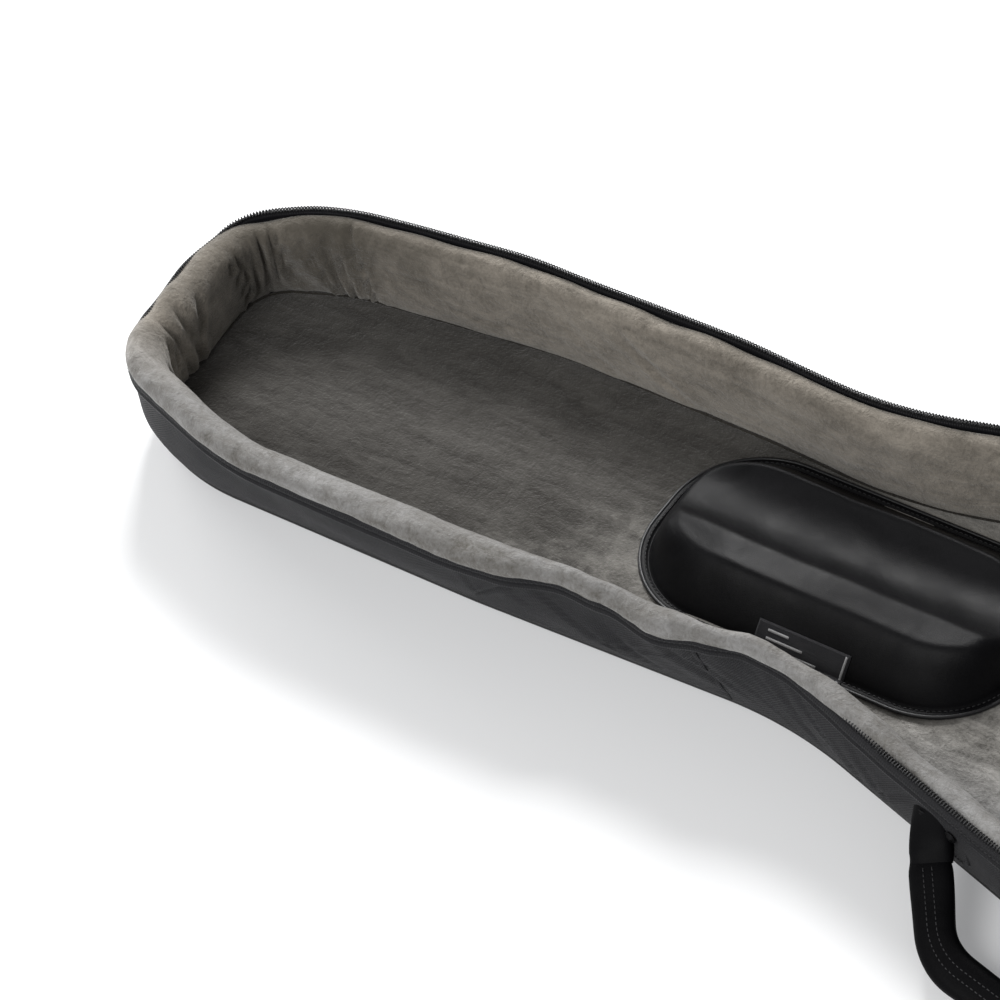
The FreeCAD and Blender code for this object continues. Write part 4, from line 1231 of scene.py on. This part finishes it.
def make_pocket(name):
    """Soft box with rounded corners, a welt at its foot, a cord at its edge and a zip."""
    ends, halves, height, radius = POCKETS[name]
    x0, x1 = (end - LENGTH / 2 for end in ends)
    y = TAIL_MIDDLE_Y
    corners = [(x0, y - halves[0], radius), (x1, y - halves[1], radius), (x1, y + halves[1], radius),
               (x0, y + halves[0], radius)]
    outline, out = plan_points(corners, run_counts(corners, 4.0))
    outline = outline + (LENGTH / 2, 0)
    middle = outline.mean(0)
    rows = []
    profile = [(-0.6, -0.25), (1.6, -0.25), (1.9, 0.5), (0.4, 1.3), (0.0, 2.4), (-0.2, height * 0.35),
               (-0.9, height * 0.6), (-2.4, height * 0.78), (-4.6, height * 0.91), (-8.0, height * 0.975)]
    for grow, rise in resampled(profile, 1.7):
        side = 0.6 * waves(81, raised(outline, rise), 40) * (1.5 < rise)
        rows.append(raised(outline + out * (grow + side)[:, None], POCKET_BASE_Z + rise))
    edge = rows[-1][:, :2]
    for share in np.concatenate([np.linspace(0.97, 0.1, 26), [0.03, 0.004]]):
        flat = middle + (edge - middle) * share
        top = POCKET_BASE_Z + height * (0.975 + 0.025 * min(1.0, (1 - share) * 8))
        soft = waves(82, raised(flat, 0.0), 70) * 0.012 * height * (1 - share)
        rows.append(raised(flat, np.minimum(top + soft, POCKET_BASE_Z + height + 0.1)))
    body = surface(f"pocket_{name}_body", opened(rows), SHELL, ring=True)
    settle(body, "lid", [f"pocket_{name}"])
    for suffix, grow, rise, size in (("welt", 1.5, 0.6, 2.2), ("edge_cord", -3.7, height * 0.9, 2.0)):
        line = raised(outline + out * grow, POCKET_BASE_Z + rise)
        cord = sweep(f"pocket_{name}_{suffix}", opened(line), oval(size, size, 8), PIPING, closed=True)
        settle(cord, "lid")
    make_pocket_zip(name, x0 + POCKET_ZIP_INSET, POCKET_BASE_Z + height, halves[0] - radius)


def make_pocket_zip(name, x, top, half):
    """Tape with a stitched border, a woven coil down its middle and a stop at each end."""
    y = np.arange(-half - 8, half + 8.1, 2.5) + TAIL_MIDDLE_Y
    line = np.column_stack([np.full(len(y), x), y, np.full(len(y), top + 0.55)])
    line[:, 2] += waves(83, line, 50) * 0.08
    up = opened_way((0, 0, 1.0))
    tape = sweep(f"pocket_{name}_tape", opened(line), np.array(POCKET_TAPE[::-1]), BAND, up=up)
    settle(tape, "lid", [f"pocket_{name}_zip"])
    for k, side in enumerate((-10.4, 10.4)):
        row = opened(line[1:-1] + (side, 0, 0.6))
        sewn(f"pocket_{name}_tape_stitches_{k}", row, up, "lid", "zip_tape", 3.0, 2.0, 0.5, 0.3)
    middle = np.array([(x, TAIL_MIDDLE_Y + v, top + 1.3) for v in np.linspace(-half, half, 40)])
    wire = coil(middle, np.tile((1.0, 0, 0), (len(middle), 1)), 2.1, 0.75, 1.9)
    teeth = sweep(f"pocket_{name}_coil", opened(wire), WIRE, TEETH, up=(0.03, 0.02, 1))
    settle(teeth, "lid")
    for k, end in enumerate((-half - 1.5, half + 1.5)):
        stop = np.array([(x + v, TAIL_MIDDLE_Y + end, top + 1.2) for v in np.linspace(-3, 3, 6)])
        piece = sweep(f"pocket_{name}_stop_{k}", opened(stop), oval(2.4, 1.8, 12, 3.5), METAL, up=up)
        settle(piece, "lid")


# ---------------------------------------------------------------- tail hinge
ARCH_FOOT, ARCH_RISE = 90.5, 3.4


def make_hinge():
    """Webbing strip sewn outside the case's tail and the lid's, arching over the fold line."""
    half = (HINGE_X - TAIL_FACE_X) - 0.9
    angle = np.linspace(math.pi, 0, 17)
    crest = HINGE_Z + ARCH_RISE - ARCH_FOOT
    arch = [(HINGE_X + half * math.cos(a), ARCH_FOOT + crest * math.sin(a)) for a in angle]
    left = [(HINGE_X - half, z) for z in np.linspace(71, ARCH_FOOT - 1, 9)]
    right = [(HINGE_X + half, z) for z in np.linspace(ARCH_FOOT - 1, 76, 8)]
    line = np.array(left + arch + right)
    y = np.linspace(-HINGE_HALF_WIDTH, HINGE_HALF_WIDTH, 90) + TAIL_MIDDLE_Y
    grid = np.array([[(x, v, z) for v in y] for x, z in line])
    over = np.exp(-((grid[:, :, 0] - HINGE_X) / 5) ** 2)
    grid[:, :, 2] += waves(91, grid * (0, 1, 0), 26) * 0.5 * over
    strip = surface("hinge_webbing", grid, WEBBING)
    thicken(strip, 1.1, 0.0)
    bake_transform(strip)
    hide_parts("hinge_strip")
    for k, (way, z, body) in enumerate(((1.0, 74.0, "case"), (1.0, 85.5, "case"), (-1.0, 78.5, "lid"))):
        row = np.array([(HINGE_X - way * (half - 0.7), v, z) for v in y[INNER]])
        sewn(f"hinge_stitches_{k}", row, (way, 0, 0), body, "webbing", 3.2, 2.2, 0.6, 0.35)


# ---------------------------------------------------------------- shoulder straps
STRAP_TOP, STRAP_BOTTOM = (616.0, 18.0), (1116.0, 64.0)
STRAP_OFFSET, STRAP_BOW = 27.0, 30.0
# Where the pad and the buckle are, in shares of the strap's length, and half the buckle's length.
PAD_START, PAD_END, BUCKLE_SHARE = 0.031, 0.619, 0.67
BUCKLE_HALF_LENGTH = 11.3
DOWN = (0, 0, -1.0)


def strap_line(side):
    """Function giving points (and the way across) at shares of the strap's bowed length."""
    start, end = (np.array([distance - LENGTH / 2, side * y]) for distance, y in (STRAP_TOP, STRAP_BOTTOM))
    chord = end - start
    long = np.linalg.norm(chord)
    out = np.array([-chord[1], chord[0]]) / long * side
    start, end = start + out * STRAP_OFFSET, end + out * STRAP_OFFSET
    radius = long ** 2 / (8 * STRAP_BOW) + STRAP_BOW / 2
    centre = (start + end) / 2 + out * (STRAP_BOW - radius)
    full = 2 * math.asin(long / 2 / radius)
    first, last = (math.atan2(*(p - centre)[::-1]) for p in (start, end))
    turn = (last - first + math.pi) % (2 * math.pi) - math.pi

    def at(share, z):
        angle = first + turn * np.asarray(share)
        return np.column_stack([centre[0] + radius * np.cos(angle), centre[1] + radius * np.sin(angle),
                                np.broadcast_to(z, angle.shape)])

    return at, radius * full


def make_strap(name, side):
    """Quilted pad with bound edges, ribbed webbing on both sides of the buckle, and the buckle."""
    at, long = strap_line(side)
    body = "strap_" + name
    share = np.linspace(PAD_START, PAD_END, 110)
    path = at(share, 3.7)
    ends = np.clip(np.minimum(share - PAD_START, PAD_END - share) * long / 9, 0.03, 1)
    round_end = np.sqrt(1 - (1 - ends) ** 2)
    quilt = 1 - 0.2 * sum(np.exp(-((share * long - k * 62) / 4.0) ** 2) for k in range(1, 6))
    section = [oval(50.5 * (0.7 + 0.3 * e), 5.6 * e * q, 34, 3.6) for e, q in zip(round_end, quilt)]
    pad = sweep(body + "_cushion", path, np.array(section), MESH_CLOTH)
    settle(pad, body, [body + "_pad"])
    _, across, _ = frames_along(path, False)
    for k, offset in enumerate((-25.0, 25.0)):
        binding = (path + across * offset)[INNER]
        settle(sweep(f"{body}_binding_{k}", binding, oval(2.6, 5.0, 12, 2.6), WEBBING), body)
        row = (path + across * (offset * 0.9) - (0, 0, 2.15))[INNER]
        sewn(f"{body}_binding_stitches_{k}", row, DOWN, body, "pad_mesh", 3.4, 2.3, 0.6, 0.4)
    reach = 0.4 * BUCKLE_HALF_LENGTH / long
    for part, low, high in (("lead", 0.612, BUCKLE_SHARE + reach), ("tail", BUCKLE_SHARE - reach, 0.98)):
        line = at(np.linspace(low, high, 50), 3.8)
        flat = sweep(f"{body}_webbing_{part}", line, oval(25.0, 1.5, 20, 7), WEBBING)
        settle(flat, body, [f"{body}_{part}"])
        _, over, _ = frames_along(line, False)
        for k, offset in enumerate((-9.5, 9.5)):
            row = line + over * offset - (0, 0, 0.75)
            rib = sweep(f"{body}_webbing_{part}_rib_{k}", row, oval(1.2, 0.7, 6), WEBBING)
            settle(rib, body)
    make_buckle(body, at)


def make_buckle(body, at):
    """Three-bar ladder adjuster with rounded bars and a lifted lip."""
    here = at(np.array([BUCKLE_SHARE - 0.01, BUCKLE_SHARE, BUCKLE_SHARE + 0.01]), 3.9)
    along = unit(here[2] - here[0])
    across = np.array([-along[1], along[0], 0.0])
    half_x, half_y = 9.4, 15.4
    loop, _ = rounded_box_outline(half_x, half_y, 4, 1.2)
    path = here[1] + loop[:, :1] * along + loop[:, 1:] * across
    rim = sweep(body + "_buckle_frame", path, oval(3.0, 4.0, 14, 3.0), PLASTIC, closed=True)
    settle(rim, body, [body + "_buckle"])
    for k, (x, size) in enumerate(((0.0, 3.6), (-4.6, 1.6))):
        ends = np.linspace(-half_y + 0.6, half_y - 0.6, 12)[:, None]
        line = here[1] + x * along + ends * across + (0, 0, 0.3 * k)
        bar = sweep(f"{body}_buckle_bar_{k}", line, oval(size, 3.2 - k, 12, 2.6), PLASTIC)
        settle(bar, body)


def make_strap_tabs():
    """Sewn tabs that hold both ends of each shoulder strap to the back."""
    number = 0
    for side in (-1, 1):
        at, _ = strap_line(side)
        for share, width in ((0.04, 46.0), (0.97, 31.0)):
            here = at(np.array([share]), 7.6)[0]
            line = here + np.array([(0.0, v, 0.0) for v in np.linspace(-width / 2, width / 2, 16)])
            piece = sweep(f"strap_tab_{number}", line, oval(16.0, 1.4, 20, 5), WEBBING)
            settle(piece, "case", ["strap_anchor_tabs"] if number == 0 else ())
            border, _ = rounded_box_outline(6.4, width / 2 - 1.6, 2.0, 1.5)
            row = raised(border + here[:2], here[2] - 0.75)
            sewn(f"strap_tab_stitches_{number}", row, DOWN, "case", "webbing", 2.8, 1.9, 0.6, 0.35,
                 closed=True)
            number += 1


# ---------------------------------------------------------------- sliders and pulls
def slider_frames():
    """Origin and the three ways (along the pull, across it, out of the tape) of each slider."""
    found = {}
    for name, side in (("near", -1), ("far", 1)):
        y = TAIL_MIDDLE_Y + side * (HINGE_HALF_WIDTH + 8)
        ways = [np.array(way) for way in ((0, 0, -1.0), (0, 1.0, 0), (1.0, 0, 0))]
        found["zip_" + name] = (np.array([TAIL_FACE_X + 0.3, y, 85.8]), *ways)
    for name, (ends, halves, height, radius) in POCKETS.items():
        y = TAIL_MIDDLE_Y - (halves[0] - radius) + 9
        origin = np.array([ends[0] - LENGTH / 2 + POCKET_ZIP_INSET, y, POCKET_BASE_Z + height + 3.0])
        ways = [opened_way(way) for way in ((0, 1.0, 0), (-1.0, 0, 0), (0, 0, 1.0))]
        found["pocket_" + name] = (opened(origin), *ways)
    return found


def plate(name, outline, low, high, frame_of, material, bevel=0.35):
    """Flat plate with rounded edges: outline in the slider's own (along, across)."""
    origin, along, across, out = frame_of
    centre = outline.mean(0)
    away = outline - centre
    closed = centre + away * 0.02
    bevelled = outline - away / np.linalg.norm(away, axis=1)[:, None] * bevel
    rows = [origin + ring[:, :1] * along + ring[:, 1:] * across + z * out
            for ring, z in ((closed, low), (bevelled, low), (outline, low + bevel), (outline, high - bevel),
                            (bevelled, high), (closed, high))]
    return surface(name, rows, material, ring=True)


# Outlines (along the pull, across it) of the slider's body and of the pull's loop.
SLIDER_WINGS = [(-8, -3.2), (-6.5, -4.6), (-3, -5), (1.5, -4.6), (5, -2.6), (5, 2.6), (1.5, 4.6), (-3, 5),
                (-6.5, 4.6), (-8, 3.2)]
PULL_LOOP = [(-3.0, -2.2), (-2.2, -3.4), (4, -3.6), (9.5, -3.0), (11.5, 0), (9.5, 3.0), (4, 3.6), (-2.2, 3.4),
             (-3.0, 2.2)]
PULL_HEIGHT = 4.1


def make_slider(name, frame_of):
    """Slider body narrowing to a nose, a high thin bail, and the pull's loop and ribbed grip."""
    origin, along, across, out = frame_of
    body = plate(name + "_plate", subdivided(SLIDER_WINGS, 4), 0.0, 2.1, frame_of, METAL)
    settle(body, name + "_runner", [name + "_slider"])
    bail = rounded_line([(-5.6, 1.8), (-5.6, 6.6), (1.8, 6.6), (1.8, 1.8)], [1.8, 1.8], 0.5)
    path = origin + bail[:, :1] * along + bail[:, 1:] * out
    piece = sweep(name + "_bail", path, oval(1.1, 2.4, 12, 3.2), METAL, up=across)
    settle(piece, name + "_runner")
    line = subdivided(PULL_LOOP, 5)
    path = origin + line[:, :1] * along + line[:, 1:] * across + PULL_HEIGHT * out
    ring_piece = sweep(name + "_pull_loop", path, oval(1.7, 1.9, 10), METAL, closed=True, up=out)
    settle(ring_piece, name + "_tag", [name + "_pull"])
    at = np.linspace(10.0, 33.6, 60)
    size = 4.2 * np.clip(np.minimum(at - 8.8, 34.2 - at) / 3.0, 0.12, 1) ** 0.6
    ribs = 1.0 + 0.11 * np.where((at > 16) & (at < 30), np.sin(at * 2.4), 0)
    path = origin + at[:, None] * along + PULL_HEIGHT * out
    section = [oval(2 * w, 2.3 * min(1.0, 0.5 + w / 8.4) * r, 20, 3.4) for w, r in zip(size, ribs)]
    grip = sweep(name + "_pull_grip", path, np.array(section), PLASTIC, up=out)
    settle(grip, name + "_tag")


def make_rivets():
    """Domed studs with a flange that hold the handle's ends."""
    number = 0
    for distance in HANDLE_ENDS:
        middle, along, up, out = anchor_ways(distance)
        for x in (-11.0, 11.0):
            centre = middle + x * along + 16.0 * up + 3.2 * out
            turns = np.linspace(0, 2 * math.pi, 24, endpoint=False)
            rows = []
            for radius, lift in ((0.05, -0.4), (4.0, -0.4), (4.2, 0.0), (3.9, 0.35), (3.0, 0.45), (2.7, 0.7),
                                 (2.2, 1.25), (1.2, 1.6), (0.05, 1.7)):
                ways = np.cos(turns)[:, None] * along + np.sin(turns)[:, None] * up
                rows.append(centre + ways * radius + out * lift)
            stud = surface(f"handle_stud_{number}", rows, BLACKENED, ring=True)
            settle(stud, "case", ["handle_rivets"] if number == 0 else ())
            number += 1


# ---------------------------------------------------------------- scene
# Soft square lamps: place and aim in metres, side in metres, power in watts.
LAMPS = {"front": ((-0.35, -1.8, 1.6), (0.0, 0.0, 0.0), 1.3, 42),
         "back": ((-1.25, 1.6, 1.75), (0.0, 0.0, 0.0), 0.8, 84),
         "low": ((-1.75, 0.38, 0.34), (-0.25, 0.0, 0.09), 0.7, 12)}
# The photograph's viewpoint, found from the object's known sizes: degrees and metres.
CAMERA_AZIMUTH, CAMERA_ELEVATION, CAMERA_ROLL = 40.36, 46.64, 8.57
CAMERA_PLACE, CAMERA_LENS = (0.64523, -1.21965, 1.66857), 129.6


def make_stage():
    """Pale floor, even surroundings and three soft lamps."""
    bpy.ops.mesh.primitive_plane_add(size=12)
    floor = bpy.context.object
    floor.name = "studio_floor"
    made, tree, shader = new_material("pale_floor", Roughness=0.55, Specular_IOR_Level=0.3)
    tone = noise(tree, place_of(tree), 1.5, 2)
    tree.links.new(blend_colours(tree, tone, (0.60, 0.605, 0.61), (0.63, 0.63, 0.63)),
                   shader.inputs["Base Color"])
    shader.inputs["Emission Color"].default_value = (0.97, 0.98, 1.0, 1)
    shader.inputs["Emission Strength"].default_value = 0.22
    floor.data.materials.append(made)
    world = bpy.data.worlds.new("studio")
    world.use_nodes = True
    background = world.node_tree.nodes["Background"]
    background.inputs["Color"].default_value = (1, 1, 1, 1)
    background.inputs["Strength"].default_value = 0.33
    bpy.context.scene.world = world
    for name, (place, aim, size, power) in LAMPS.items():
        lamp = bpy.data.lights.new(name, "AREA")
        lamp.size, lamp.energy = size, power
        holder = bpy.data.objects.new(name, lamp)
        holder.location = place
        holder.rotation_euler = (Vector(aim) - Vector(place)).to_track_quat("-Z", "Y").to_euler()
        bpy.context.scene.collection.objects.link(holder)


def make_camera():
    """Camera at the photograph's viewpoint, looking down at the head and the waist."""
    azimuth, elevation, roll = (math.radians(a) for a in (CAMERA_AZIMUTH, CAMERA_ELEVATION, CAMERA_ROLL))
    back = Vector((math.sin(azimuth) * math.cos(elevation), -math.cos(azimuth) * math.cos(elevation),
                   math.sin(elevation)))
    camera = bpy.data.objects.new("camera", bpy.data.cameras.new("camera"))
    camera.data.lens = CAMERA_LENS
    camera.data.sensor_width = 36.0
    turn = (-back).to_track_quat("-Z", "Y").to_matrix() @ Matrix.Rotation(-roll, 3, "Z")
    camera.matrix_world = Matrix.LocRotScale(Vector(CAMERA_PLACE), turn, None)
    bpy.context.scene.collection.objects.link(camera)
    bpy.context.scene.camera = camera
    bpy.context.scene.view_settings.view_transform = "Standard"


make_stage()
make_camera()
make_shell()
make_band()
make_teeth()
make_wall_lining()
make_floor_lining()
brace = make_brace()
make_brace_label(brace)
make_tail_cushion()
make_handle()
make_base()
make_lid()
make_lid_zip()
for pocket in POCKETS:
    make_pocket(pocket)
make_hinge()
for strap, strap_side in (("near", -1), ("far", 1)):
    make_strap(strap, strap_side)
make_strap_tabs()
for slider, slider_frame in slider_frames().items():
    make_slider(slider, slider_frame)
make_rivets()
